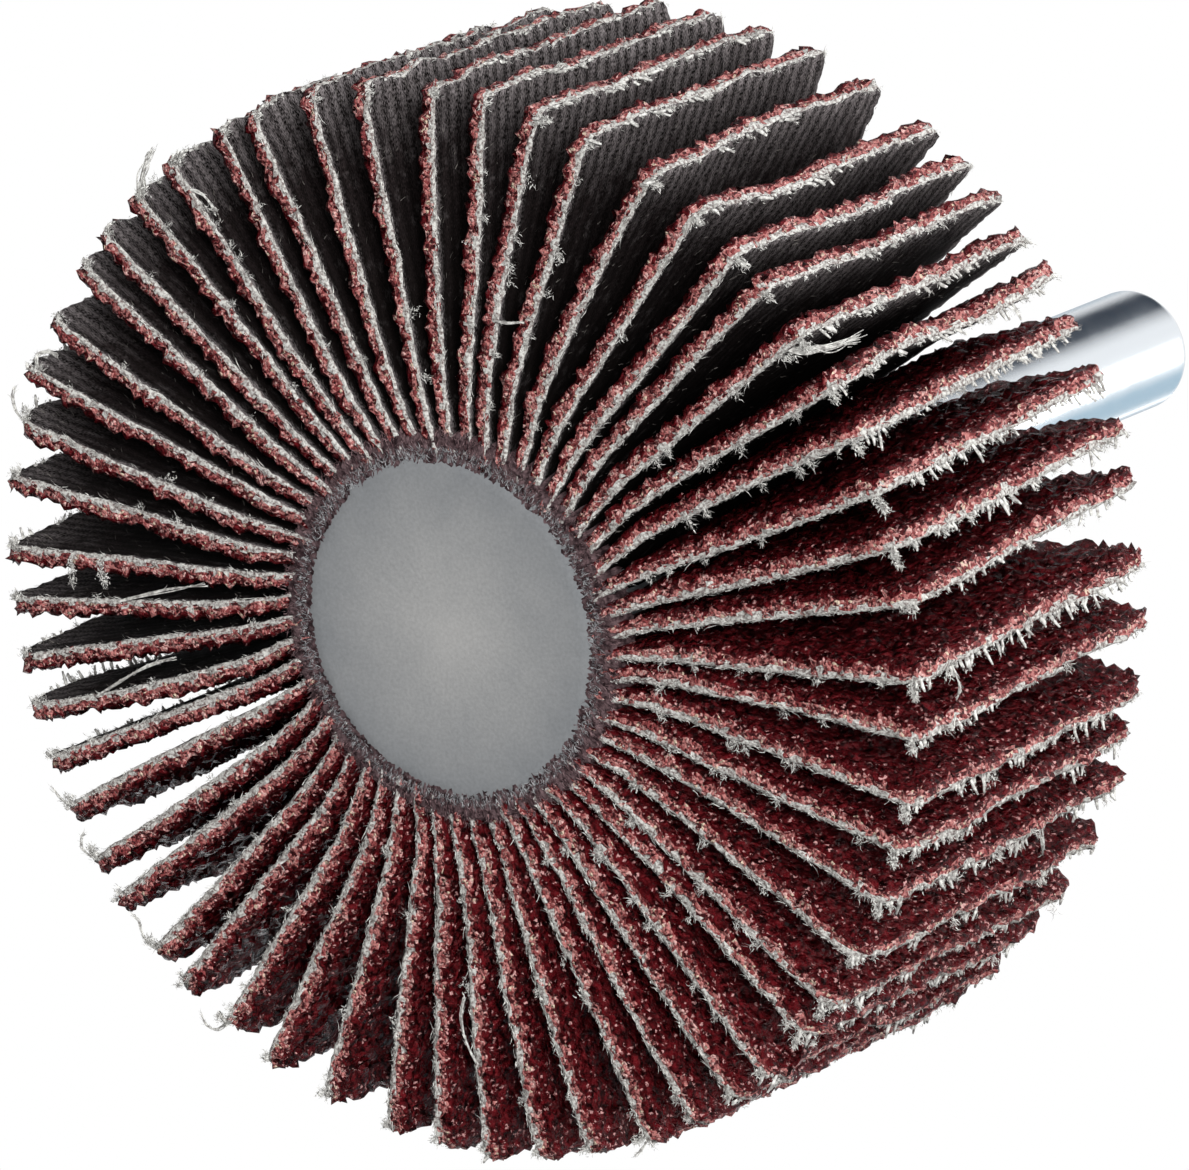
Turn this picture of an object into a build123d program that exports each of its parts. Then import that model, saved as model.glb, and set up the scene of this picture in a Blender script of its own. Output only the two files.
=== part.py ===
from build123d import *
from math import cos, radians, sin
import os

# Flap wheel on a steel shank, for a drill or a straight grinder. Millimetres.
# It stands on its front face, with the shank up. The origin is the middle of that face.
# Each flap is a sheet of coated abrasive, grain on one side and bare cloth on the other.

# Abrasive flaps
wheel_diameter = 50.0
wheel_width = 20.0
flap_thickness = 0.85
bend_reach = 5.3
worn_corner = 0.5

# Cast resin core, which grips the flap roots, runs in between them and closes over their ends
core_diameter = 16.4
root_depth = 0.8
resin_between_roots = 0.07
face_cover = 1.2

# Steel shank, with a swollen end cast into the resin, grooved so that it can't turn there
shank_diameter = 6.0
shank_reach = 40.0
resin_before_shank = 3.0
shank_chamfer = 0.6
seat_rise = 0.25
groove_depth = 0.6
groove_count = 4

# How the flaps stand, in degrees round the axis. The roots are packed evenly, and each flap leans back
# by root_sweep_angle on its way out to the knee. Its knee follows its tip by knee_ratio of the way.
first_root_angle = 10.6
root_sweep_angle = 5.8
knee_ratio = 0.4

# The free ends gather in bunches: how many flaps in each, and the angles of its first tip and its last
bunch_counts = (12, 5, 1, 12, 10, 2, 4, 10)
bunch_angles = (
    (4.9, 72.9),
    (80.9, 106.9),
    (115.1, 115.1),
    (123.1, 188.1),
    (196.0, 252.8),
    (260.4, 267.8),
    (276.0, 295.7),
    (303.7, 356.9),
)

# Flaps that work has bent further than the rest of their bunch, by number, in degrees
bent_flap_angles = {3: 1.1, 6: 1.1, 7: 1.4, 9: 1.0, 21: 1.4, 23: 1.1, 35: 1.3, 39: 1.3, 48: 1.3, 49: 1.4}

# Worked out from the sizes above
tip_radius = wheel_diameter / 2
core_radius = core_diameter / 2
root_radius = core_radius - root_depth
knee_radius = core_radius + bend_reach
flap_count = sum(bunch_counts)
flap_pitch = 360 / flap_count
root_spacing = 2 * root_radius * sin(radians(flap_pitch / 2))
shank_radius = shank_diameter / 2
shank_start = resin_before_shank
shank_seat = wheel_width - shank_start
seat_radius = shank_radius + seat_rise
groove_side = groove_depth * 2**0.5

os.makedirs("parts", exist_ok=True)


def tip_angles():
    """The angle of each flap's tip, spread evenly over its bunch."""
    angles = []
    for count, (first, last) in zip(bunch_counts, bunch_angles):
        step = (last - first) / max(count - 1, 1)
        angles += [first + step * place for place in range(count)]
    return [angle + bent_flap_angles.get(number, 0) for number, angle in enumerate(angles, 1)]


def at(radius, angle):
    """The point at this radius and angle round the axis."""
    return Vector(radius, 0).rotate(Axis.Z, angle)


def root_thickness(root, knee):
    """The thickness that a flap is pressed to at its root, where it leaves room for resin beside its neighbour."""
    lean = root.get_angle(knee - root)
    return min(flap_thickness, root_spacing * cos(radians(lean)) - resin_between_roots)


def half_across(start, end, thickness):
    """Half a thickness, square to the way from start to end."""
    return (end - start).normalized().rotate(Axis.Z, 90) * (thickness / 2)


# The side view that every flap is cut to: a blade with worn outer corners, and a narrower tongue for a root.
# A flap is bent, so its blade is trimmed all the way round the axis.
with BuildPart() as flap_limits:
    with BuildSketch(Plane.XZ) as side_view:
        with Locations((0, wheel_width / 2)):
            Rectangle(tip_radius, wheel_width, align=(Align.MIN, Align.CENTER))
        chamfer(side_view.vertices().group_by(Axis.X)[-1], length=worn_corner)
        for face_level in (0, wheel_width):
            with Locations((0, face_level)):
                Rectangle(core_radius, 2 * face_cover, align=(Align.MIN, Align.CENTER), mode=Mode.SUBTRACT)
    revolve(axis=Axis.Z)

# Coated abrasive flaps
flaps = []
for number, tip_angle in enumerate(tip_angles(), 1):
    root_angle = first_root_angle + flap_pitch * (number - 1)
    spring = tip_angle - (root_angle - root_sweep_angle)
    root = at(root_radius, root_angle)
    knee = at(knee_radius, root_angle - root_sweep_angle + knee_ratio * spring)
    tip = at(tip_radius + worn_corner, tip_angle)
    root_half = half_across(root, knee, root_thickness(root, knee))
    blade_half = half_across(knee, tip, flap_thickness)
    with BuildPart() as flap:
        with BuildSketch() as section:
            with BuildLine():
                for half, root_edge in ((blade_half, root_half), (-blade_half, -root_half)):
                    Line(tip + half, knee + half)
                    TangentArc(knee + half, root + root_edge, tangent=knee - tip)
                Line(tip + blade_half, tip - blade_half)
                Line(root + root_half, root - root_half)
            make_face()
        extrude(amount=wheel_width)
        add(flap_limits.part, mode=Mode.INTERSECT)
    flap.part.label = f"flap_{number:02d}"
    export_step(flap.part, f"parts/{flap.part.label}.step")
    flaps.append(flap.part)

# Steel shank: a turned pin with a lead chamfer on its free end. The end that the resin holds is a little
# stouter, with grooves along it.
with BuildPart() as shank:
    with BuildSketch(Plane.XY.offset(shank_start)):
        Circle(seat_radius)
        with PolarLocations(seat_radius, groove_count):
            Rectangle(groove_side, groove_side, rotation=45, mode=Mode.SUBTRACT)
    extrude(amount=shank_seat)
    with BuildSketch(Plane.XY.offset(wheel_width)):
        Circle(shank_radius)
    extrude(amount=shank_reach)
    chamfer(shank.edges().group_by(Axis.Z)[-1], length=shank_chamfer)
shank.part.label = "shank"
export_step(shank.part, "parts/shank.step")

# Resin core: cast round the flap roots and the shank's stout end, so it takes their shape
with BuildPart() as resin_core:
    with BuildSketch():
        Circle(core_radius)
    extrude(amount=wheel_width)
    add(shank.part, mode=Mode.SUBTRACT)
    add(flaps, mode=Mode.SUBTRACT)
resin_core.part.label = "resin_core"
export_step(resin_core.part, "parts/resin_core.step")
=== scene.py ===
"""Flap wheel on a steel shank, dressed over its CAD frame.

The wheel stands on its front face, with the shank up. Shapes are worked out in millimetres and degrees, and
turned into metres when a mesh is made. Each flap is a sheet of coated abrasive: grain on one side, ribbed
cloth on the other, and a frayed cut edge all round.
"""
import logging
import math
from dataclasses import dataclass, field
from enum import IntEnum

import bpy
import numpy as np
from mathutils import Matrix, Vector

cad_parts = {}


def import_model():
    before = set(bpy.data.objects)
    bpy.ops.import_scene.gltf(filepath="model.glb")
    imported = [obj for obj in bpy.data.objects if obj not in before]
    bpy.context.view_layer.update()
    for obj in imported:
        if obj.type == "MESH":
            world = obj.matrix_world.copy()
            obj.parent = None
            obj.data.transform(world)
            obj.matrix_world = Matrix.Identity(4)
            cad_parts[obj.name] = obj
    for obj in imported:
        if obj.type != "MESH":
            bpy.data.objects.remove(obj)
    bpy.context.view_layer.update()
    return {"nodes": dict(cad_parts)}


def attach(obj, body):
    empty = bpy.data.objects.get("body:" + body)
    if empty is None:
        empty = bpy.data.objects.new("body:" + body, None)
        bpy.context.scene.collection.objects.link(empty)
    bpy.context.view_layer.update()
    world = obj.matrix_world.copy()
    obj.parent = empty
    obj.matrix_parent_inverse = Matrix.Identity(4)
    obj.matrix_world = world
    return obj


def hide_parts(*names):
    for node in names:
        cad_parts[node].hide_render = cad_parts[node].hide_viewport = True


log = logging.getLogger("flap_wheel")

Colour = tuple[float, float, float]
Triple = tuple[float, float, float]
Socket = bpy.types.NodeSocket
Random = np.random.Generator

MM = 0.001


class Layer(IntEnum):
    """The finishes of a flap, in the order of its material slots."""

    GRAIN = 0
    CUT_GRAIN = 1
    CUT_CLOTH = 2
    CLOTH = 3
    FIBRE = 4
    NAP = 5


class Ring(IntEnum):
    """The finishes of the resin core, in the order of its material slots."""

    RESIN = 0
    SOAKED = 1
    RIM_FIBRE = 2
    SOAKED_FIBRE = 3


class Wiring:
    """A tree of shader nodes under construction."""

    def __init__(self, tree: bpy.types.NodeTree) -> None:
        """Takes up a tree.

        Args:
            tree: The tree that the nodes join.
        """
        self.tree = tree

    @classmethod
    def blank(cls, owner: bpy.types.Material | bpy.types.World) -> "Wiring":
        """Empties the tree of a material or a world.

        Args:
            owner: The material or world.

        Returns:
            The wiring of its tree.
        """
        owner.use_nodes = True
        owner.node_tree.nodes.clear()
        return cls(owner.node_tree)

    def node(self, kind: str, inputs: dict | None = None, **settings: object) -> bpy.types.Node:
        """Adds a node.

        Args:
            kind: The node's type.
            inputs: Values or sockets for its inputs, by name or number.
            settings: Properties of the node itself.

        Returns:
            The node.
        """
        made = self.tree.nodes.new(kind)
        for name, value in settings.items():
            setattr(made, name, value)
        for name, value in (inputs or {}).items():
            self.feed(made.inputs[name], value)
        return made

    def feed(self, socket: Socket, value: object) -> None:
        """Links a socket to another, or sets its value.

        Args:
            socket: The socket that is fed.
            value: The other socket, or the value.
        """
        if isinstance(value, Socket):
            self.tree.links.new(value, socket)
        else:
            socket.default_value = value

    def coordinates(self) -> Socket:
        """The object's own coordinates, in metres."""
        return self.node("ShaderNodeTexCoord").outputs["Object"]

    def math(self, operation: str, first: object, second: object = 0.0, clamp: bool = False) -> Socket:
        """Puts two numbers through a sum.

        Args:
            operation: The sum.
            first: The first number or socket.
            second: The second.
            clamp: Whether the result is kept from 0 to 1.

        Returns:
            The result.
        """
        made = self.node("ShaderNodeMath", {0: first, 1: second}, operation=operation, use_clamp=clamp)
        return made.outputs[0]

    def span(self, value: object, start: float, end: float, low: float = 0.0, high: float = 1.0,
             eased: bool = False) -> Socket:
        """A number that goes from low to high as another goes from start to end.

        Args:
            value: The other number.
            start: Where it starts.
            end: Where it ends.
            low: The result at the start.
            high: The result at the end.
            eased: Whether the result sets off and comes to rest gently.

        Returns:
            The result.
        """
        inputs = {"Value": value, "From Min": start, "From Max": end, "To Min": low, "To Max": high}
        kind = "SMOOTHSTEP" if eased else "LINEAR"
        return self.node("ShaderNodeMapRange", inputs, interpolation_type=kind).outputs["Result"]

    def seen_directly(self) -> Socket:
        """1 for what the camera sees, also mirrored or through glass, and 0 otherwise.

        Returns:
            That number.
        """
        path = self.node("ShaderNodeLightPath")
        seen = path.outputs["Is Camera Ray"]
        for name in ("Is Glossy Ray", "Is Transmission Ray"):
            seen = self.math("MAXIMUM", seen, path.outputs[name])
        return seen

    def blend(self, share: Socket, first: Socket, second: Socket,
              kind: str = "ShaderNodeOutputMaterial") -> None:
        """Sends two shaders to the output, blended.

        Args:
            share: How much of the second, from 0 to 1.
            first: The first shader.
            second: The second shader.
            kind: The type of the output node.
        """
        mixed = self.node("ShaderNodeMixShader", {0: share, 1: first, 2: second})
        self.node(kind, {"Surface": mixed.outputs[0]})

    def show(self, share: Socket, shader: Socket) -> None:
        """Sends a shader to the output, shown by a share from 0 to 1 and see-through for the rest."""
        self.blend(share, self.node("ShaderNodeBsdfTransparent").outputs[0], shader)


class Surface(Wiring):
    """A piece's material under construction."""

    def __init__(self, name: str, preview: Colour) -> None:
        """Starts a material.

        Args:
            name: The material's name.
            preview: Its plain colour in the viewport.
        """
        self.material = bpy.data.materials.new(name)
        self.material.use_nodes = True
        self.material.diffuse_color = (*preview, 1.0)
        super().__init__(self.material.node_tree)
        self.shader = self.tree.nodes["Principled BSDF"]
        self.place = self.coordinates()

    def stretched(self, scale: Triple) -> Socket:
        """The object's coordinates, scaled apart along each axis."""
        return self.node("ShaderNodeMapping", {"Vector": self.place, "Scale": scale}).outputs["Vector"]

    def noise(self, per_mm: float, detail: float = 2.0, where: Socket | None = None) -> Socket:
        """Cloudy noise.

        Args:
            per_mm: How many features there are to a millimetre.
            detail: How many finer layers lie on it.
            where: The coordinates it is laid on.

        Returns:
            The noise from 0 to 1.
        """
        inputs = {"Vector": where or self.place, "Scale": per_mm / MM, "Detail": detail}
        return self.node("ShaderNodeTexNoise", inputs).outputs["Fac"]

    def drift(self, per_mm: float, detail: float, low: float, high: float) -> Socket:
        """Cloudy noise that runs from low to high."""
        return self.span(self.noise(per_mm, detail), 0.3, 0.7, low, high)

    def cells(self, per_mm: float) -> bpy.types.Node:
        """Cells like packed grains, with a distance and a random colour for each."""
        return self.node("ShaderNodeTexVoronoi", {"Vector": self.place, "Scale": per_mm / MM})

    def grey(self, colour: Socket) -> Socket:
        """One channel of a colour, as a number."""
        return self.node("ShaderNodeSeparateColor", {"Color": colour}).outputs[0]

    def ramp(self, factor: Socket, stops: list[tuple[float, Colour]], stepped: bool = False) -> Socket:
        """A colour for each value of a factor.

        Args:
            factor: The number that is looked up.
            stops: Places from 0 to 1 and their colours.
            stepped: Whether a colour holds until the next stop.

        Returns:
            The colour.
        """
        made = self.node("ShaderNodeValToRGB", {"Fac": factor})
        band = made.color_ramp
        band.interpolation = "CONSTANT" if stepped else "LINEAR"
        while len(band.elements) < len(stops):
            band.elements.new(0.5)
        for element, (place, colour) in zip(band.elements, stops):
            element.position = place
            element.color = (*colour, 1.0)
        return made.outputs["Color"]

    def mix(self, factor: object, first: object, second: object, blend: str = "MIX") -> Socket:
        """Two colours mixed.

        Args:
            factor: How much of the second, from 0 to 1.
            first: The first colour or socket.
            second: The second colour or socket.
            blend: How they are mixed.

        Returns:
            The mixed colour.
        """
        made = self.node("ShaderNodeMix", data_type="RGBA", blend_type=blend)
        for number, value in ((0, factor), (6, first), (7, second)):
            value = (*value, 1.0) if isinstance(value, tuple) else value
            self.feed(made.inputs[number], value)
        return made.outputs[2]

    def level(self) -> Socket:
        """The height above the floor, in metres."""
        return self.node("ShaderNodeSeparateXYZ", {"Vector": self.place}).outputs["Z"]

    def radius(self) -> Socket:
        """The distance from the axis, in metres."""
        flat = self.node("ShaderNodeVectorMath", {0: self.place, 1: (1.0, 1.0, 0.0)}, operation="MULTIPLY")
        return self.node("ShaderNodeVectorMath", {0: flat.outputs[0]}, operation="LENGTH").outputs["Value"]

    def near_edge(self, reach: float, width: float, tip: float) -> Socket:
        """How near a point of a flap is to its cut edges.

        Args:
            reach: How far in the edges are felt, in millimetres.
            width: The wheel's width.
            tip: The radius of the free ends.

        Returns:
            1 at an edge, and 0 from reach on.
        """
        level = self.level()
        front = self.span(level, 0.0, reach * MM, 1.0, 0.0)
        back = self.span(level, (width - reach) * MM, width * MM)
        end = self.span(self.radius(), (tip - reach) * MM, tip * MM)
        return self.math("MAXIMUM", self.math("MAXIMUM", front, back), end)

    def bump(self, height: object, strength: float, depth: float) -> None:
        """Roughens the surface.

        Args:
            height: The height from 0 to 1.
            strength: How much of it shows.
            depth: The depth of the relief, in millimetres.
        """
        inputs = {"Height": height, "Strength": strength, "Distance": depth * MM}
        self.feed(self.shader.inputs["Normal"], self.node("ShaderNodeBump", inputs).outputs["Normal"])

    def dress(self, **values: object) -> bpy.types.Material:
        """Sets the shader's sockets.

        Args:
            values: A value or socket for each, by its name with underscores for spaces.

        Returns:
            The finished material.
        """
        for name, value in values.items():
            if isinstance(value, tuple) and len(value) == 3:
                value = (*value, 1.0)
            self.feed(self.shader.inputs[name.replace("_", " ")], value)
        return self.material


@dataclass(frozen=True)
class GrainFinish:
    """Coarse grain under a glossy maroon size coat."""

    deep: Colour = (0.010, 0.0008, 0.0012)
    coat: Colour = (0.120, 0.0070, 0.0105)
    # grain bared by work, and painted glint: the colour of the pale specks
    bare_grain_and_painted_glint: Colour = (0.700, 0.380, 0.370)
    grain_per_mm: float = 2.7
    specks_per_mm: float = 4.2
    wear_and_glint_reach: float = 2.4
    relief: float = 0.34

    def material(self, width: float, tip: float) -> bpy.types.Material:
        """Makes the material of the grain side, with pale specks that grow denser along the edges: grain bared
        by work, and painted glints.

        Args:
            width: The wheel's width.
            tip: The radius of the free ends.

        Returns:
            The material.
        """
        made = Surface("grain_face", self.coat)
        cells, dust = made.cells(self.grain_per_mm), made.cells(self.specks_per_mm)
        tone = made.ramp(made.noise(3.0, 5.0), [(0.36, self.deep), (0.66, self.coat)])
        patches = made.span(made.noise(0.9, 3.0), 0.5, 0.8, 0.0, 0.4)
        edge = made.math("MAXIMUM", made.near_edge(self.wear_and_glint_reach, width, tip), patches)
        # painted highlight: the pale specks from the finer cells stand for glints on the coated grain as well as
        # for bared grain, and grow denser near the edges and in patches
        chance = made.math("ADD", made.grey(dust.outputs["Color"]), made.math("MULTIPLY", edge, 0.33))
        ragged = made.math("ADD", dust.outputs["Distance"], made.drift(9.0, 4.0, -0.38, 0.38))
        spot = made.span(ragged, 0.22, 0.38, 1.0, 0.0)
        speck = made.math("MULTIPLY", made.span(chance, 0.92, 0.99), spot)
        tone = made.mix(made.math("MULTIPLY", speck, 0.80), tone, self.bare_grain_and_painted_glint)
        rough_tops = made.math("MULTIPLY", made.noise(9.0, 4.0), 0.6)
        domes = made.math("SUBTRACT", rough_tops, cells.outputs["Distance"])
        made.bump(domes, 1.0, self.relief)
        rough = made.span(made.grey(cells.outputs["Color"]), 0.0, 1.0, 0.18, 0.45)
        return made.dress(Base_Color=tone, Roughness=rough, Specular_IOR_Level=0.11)


@dataclass(frozen=True)
class CutGrainFinish:
    """Grain and resin cut through, dull and dusty."""

    dark: Colour = (0.050, 0.007, 0.009)
    red: Colour = (0.240, 0.052, 0.053)
    rose: Colour = (0.490, 0.190, 0.178)
    pale: Colour = (0.720, 0.430, 0.400)
    cream: Colour = (0.700, 0.560, 0.430)
    chips_per_mm: float = 7.0
    relief: float = 0.16

    def material(self) -> bpy.types.Material:
        """Makes the material of the cut edge on its grain side.

        Returns:
            The material.
        """
        made = Surface("cut_grain", self.rose)
        cells = made.cells(self.chips_per_mm)
        stops = [(0.0, self.dark), (0.14, self.red), (0.42, self.rose), (0.80, self.pale), (0.95, self.cream)]
        speckle = made.ramp(made.grey(cells.outputs["Color"]), stops, stepped=True)
        # painted shade: noise patches of the dark colour stand for the shaded pits between the cut grains
        painted_shade_pits = made.math("ADD", made.noise(5.5, 5.0), made.drift(1.1, 2.0, -0.05, 0.05))
        tone = made.mix(made.span(painted_shade_pits, 0.35, 0.50), self.dark, speckle)
        made.bump(made.math("SUBTRACT", made.noise(14.0, 3.0), cells.outputs["Distance"]), 0.9, self.relief)
        return made.dress(Base_Color=tone, Roughness=0.5, Specular_IOR_Level=0.15)


@dataclass(frozen=True)
class CutClothFinish:
    """Frayed threads where the cloth is cut."""

    shade: Colour = (0.180, 0.145, 0.138)
    thread: Colour = (0.640, 0.640, 0.612)
    relief: float = 0.10

    def material(self) -> bpy.types.Material:
        """Makes the material of the cut edge on its cloth side.

        Returns:
            The material.
        """
        made = Surface("cut_cloth", self.thread)
        tone = made.ramp(made.noise(7.0, 5.0), [(0.38, self.shade), (0.60, self.thread)])
        made.bump(made.noise(16.0, 4.0), 0.9, self.relief)
        return made.dress(Base_Color=tone, Roughness=0.95, Specular_IOR_Level=0.05)


@dataclass(frozen=True)
class ClothFinish:
    """The uncoated cloth backing: dark, with lighter threads that run outwards in fine ribs, and painted shade
    deep in the wheel.
    """

    shade: Colour = (0.004, 0.0030, 0.0028)
    # painted shade: the thread colour deep in the wheel, where the gaps between flaps are shaded
    deep: Colour = (0.004, 0.0029, 0.0027)
    thread: Colour = (0.032, 0.0245, 0.0250)
    # the pale colour: brushed-up fibres at the cut edges, and painted light towards the free ends
    pale_fuzz_and_painted_light: Colour = (0.262, 0.236, 0.240)
    rib_pitch: float = 0.78
    rib_height: float = 0.13
    relief: float = 0.14

    def material(self, width: float, tip: float) -> bpy.types.Material:
        """Makes the material of the cloth side, with painted shade that darkens it in the depth of the wheel,
        and brushed-up fibres and painted light that pale it at the edges and towards the free ends.

        Args:
            width: The wheel's width.
            tip: The radius of the free ends.

        Returns:
            The material.
        """
        made = Surface("cloth_face", self.thread)
        spread = made.node("ShaderNodeCombineXYZ", {"X": made.radius(), "Y": made.level()}).outputs["Vector"]
        narrowed = {"Vector": spread, "Scale": (1.0, 2.2, 1.0)}
        strokes = made.node("ShaderNodeMapping", narrowed).outputs["Vector"]
        broken = made.noise(6.4, 8.0, strokes)
        turns = made.math("MULTIPLY", made.level(), 2 * math.pi / (self.rib_pitch * MM))
        sway = made.span(made.noise(1.2, 3.0), 0.0, 1.0, -2.4, 2.4)
        rib = made.math("SINE", made.math("ADD", turns, sway))
        height = made.math("ADD", made.span(rib, -1.0, 1.0, 0.0, self.rib_height), broken)
        # painted shade: the threads darken from the free ends in towards the core
        depth = made.math("POWER", made.span(made.radius(), 0.36 * tip * MM, 0.98 * tip * MM), 1.6)
        lit = made.mix(self.painted_light_and_fuzz_share(made, width, tip), made.mix(depth, self.deep, self.thread), self.pale_fuzz_and_painted_light)
        tone = made.mix(made.span(height, 0.46, 0.74), self.shade, lit)
        made.bump(height, 0.6, self.relief)
        return made.dress(Base_Color=tone, Roughness=0.95, Specular_IOR_Level=0.03)

    @staticmethod
    def painted_light_and_fuzz_share(made: Surface, width: float, tip: float) -> Socket:
        """How much of the pale colour the cloth takes: fibres brushed up by work at its cut edges, and painted
        light that grows towards the free ends.

        Args:
            made: The cloth's material.
            width: The wheel's width.
            tip: The radius of the free ends.

        Returns:
            0 in the depth of the wheel, and 1 at its edges.
        """
        # painted light: the cloth turns paler over the last 5 mm before the free end, where the light falls
        end = made.span(made.radius(), (tip - 5.0) * MM, (tip + 0.3) * MM)
        edge = made.math("MAXIMUM", made.math("POWER", end, 2.0), made.near_edge(0.7, width, tip))
        return made.span(made.math("ADD", edge, made.drift(1.3, 4.0, -0.25, 0.15)), 0.0, 1.0)


@dataclass(frozen=True)
class FibreFinish:
    """Loose fibres, which differ a little in tone."""

    name: str
    dark: Colour
    light: Colour

    def material(self) -> bpy.types.Material:
        """Makes the fibres' material.

        Returns:
            The material.
        """
        made = Surface(self.name, self.light)
        tone = made.ramp(made.noise(4.5, 3.0), [(0.36, self.dark), (0.62, self.light)])
        return made.dress(Base_Color=tone, Roughness=0.9, Specular_IOR_Level=0.08)


@dataclass(frozen=True)
class ResinFinish:
    """Cast grey resin, smooth and matt, a little paler in the middle."""

    rim: Colour = (0.186, 0.196, 0.206)
    middle: Colour = (0.330, 0.330, 0.328)
    relief: float = 0.03

    def material(self, reach: float) -> bpy.types.Material:
        """Makes the resin's material.

        Args:
            reach: The radius from which it has its rim's colour.

        Returns:
            The material.
        """
        made = Surface("cast_resin_face", self.middle)
        cloud = made.drift(0.35, 5.0, -0.9 * MM, 0.9 * MM)
        outwards = made.span(made.math("ADD", made.radius(), cloud), 0.5 * MM, reach * MM)
        tone = made.mix(outwards, self.middle, self.rim)
        dust = made.drift(6.0, 4.0, 0.92, 1.08)
        dust = made.node("ShaderNodeCombineColor", {0: dust, 1: dust, 2: dust}).outputs[0]
        made.bump(made.noise(9.0, 3.0), 0.25, self.relief)
        tone = made.mix(1.0, tone, dust, "MULTIPLY")
        return made.dress(Base_Color=tone, Roughness=0.5, Specular_IOR_Level=0.35)


@dataclass(frozen=True)
class SoakedFinish:
    """Fibre and dust soaked with resin, where the flaps leave the core."""

    dark: Colour = (0.020, 0.010, 0.012)
    mauve: Colour = (0.120, 0.078, 0.084)
    relief: float = 0.12

    def material(self) -> bpy.types.Material:
        """Makes the material of the soaked collar.

        Returns:
            The material.
        """
        made = Surface("soaked_fibre", self.mauve)
        tone = made.ramp(made.noise(3.2, 5.0), [(0.38, self.dark), (0.66, self.mauve)])
        made.bump(made.noise(7.0, 4.0), 0.9, self.relief)
        return made.dress(Base_Color=tone, Roughness=0.8, Specular_IOR_Level=0.15)


@dataclass(frozen=True)
class SteelFinish:
    """Bright plated steel with faint turning marks."""

    colour: Colour = (0.80, 0.84, 0.88)
    relief: float = 0.01

    def material(self) -> bpy.types.Material:
        """Makes the shank's material.

        Returns:
            The material.
        """
        made = Surface("plated_steel_shank", self.colour)
        turning_marks = made.noise(1.2, 3.0, made.stretched((0.15, 0.15, 12.0)))
        made.bump(turning_marks, 0.08, self.relief)
        return made.dress(Base_Color=self.colour, Metallic=1.0, Roughness=made.drift(0.6, 3.0, 0.15, 0.20))


def put(name: str, data: bpy.types.ID) -> bpy.types.Object:
    """Puts an object in the scene.

    Args:
        name: Its name.
        data: Its mesh, light or camera.

    Returns:
        The object.
    """
    made = bpy.data.objects.new(name, data)
    bpy.context.scene.collection.objects.link(made)
    return made


class MeshStock:
    """The points and faces of one piece, gathered before its mesh is made."""

    def __init__(self) -> None:
        """Starts empty."""
        self.points: list[np.ndarray] = []
        self.corners: list[np.ndarray] = []
        self.sizes: list[np.ndarray] = []
        self.slots: list[np.ndarray] = []
        self.smooth: list[np.ndarray] = []
        self.count = 0

    def add_points(self, points: np.ndarray) -> int:
        """Adds points.

        Args:
            points: The points, in millimetres, along the last axis.

        Returns:
            The number of the first.
        """
        first = self.count
        self.points.append(np.asarray(points, dtype=float).reshape(-1, 3))
        self.count += len(self.points[-1])
        return first

    def add_faces(self, faces: np.ndarray, slot: int | np.ndarray, smooth: bool = True) -> None:
        """Adds faces.

        Args:
            faces: The numbers of their corners, one row each.
            slot: The material slot of all, or of each.
            smooth: Whether they are shaded smooth.
        """
        faces = np.asarray(faces, dtype=np.int64)
        self.corners.append(faces.ravel())
        self.sizes.append(np.full(len(faces), faces.shape[1]))
        self.slots.append(np.broadcast_to(slot, len(faces)).astype(np.int64))
        self.smooth.append(np.full(len(faces), smooth))

    def add_tubes(self, numbers: np.ndarray, slot: int, smooth: bool = True) -> None:
        """Adds the faces between rings of points.

        Args:
            numbers: The points' numbers, for each tube ring by ring, along the last two axes.
            slot: The faces' material slot.
            smooth: Whether they are shaded smooth.
        """
        following = np.roll(numbers, -1, axis=-1)
        corners = (numbers[..., :-1, :], following[..., :-1, :], following[..., 1:, :], numbers[..., 1:, :])
        self.add_faces(np.stack(corners, axis=-1).reshape(-1, 4), slot, smooth)

    def make(self, name: str, materials: list[bpy.types.Material]) -> bpy.types.Object:
        """Makes the piece.

        Args:
            name: Its name.
            materials: Its material slots.

        Returns:
            The object.
        """
        mesh = bpy.data.meshes.new(name)
        corners = np.concatenate(self.corners)
        sizes = np.concatenate(self.sizes)
        mesh.vertices.add(self.count)
        mesh.vertices.foreach_set("co", (np.concatenate(self.points) * MM).ravel())
        mesh.loops.add(len(corners))
        mesh.loops.foreach_set("vertex_index", corners)
        mesh.polygons.add(len(sizes))
        mesh.polygons.foreach_set("loop_start", np.concatenate(([0], np.cumsum(sizes)[:-1])))
        mesh.polygons.foreach_set("material_index", np.concatenate(self.slots))
        mesh.polygons.foreach_set("use_smooth", np.concatenate(self.smooth))
        for material in materials:
            mesh.materials.append(material)
        mesh.update(calc_edges=True)
        mesh.validate()
        return put(name, mesh)


def unit(vectors: np.ndarray) -> np.ndarray:
    """Each row scaled to length 1."""
    return vectors / np.maximum(np.linalg.norm(vectors, axis=-1, keepdims=True), 1e-9)


def hoops(first_side: np.ndarray, second_side: np.ndarray, corners: int = 5) -> np.ndarray:
    """Hoops of unit radius round the origin.

    Args:
        first_side: The way to each hoop's first corner, n by 3.
        second_side: A way square to it, in the hoop's plane.
        corners: How many corners a hoop has.

    Returns:
        The corners, n by corners by 3.
    """
    turns = np.linspace(0, 2 * math.pi, corners, endpoint=False)[None, :, None]
    return first_side[:, None, :] * np.cos(turns) + second_side[:, None, :] * np.sin(turns)


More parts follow.
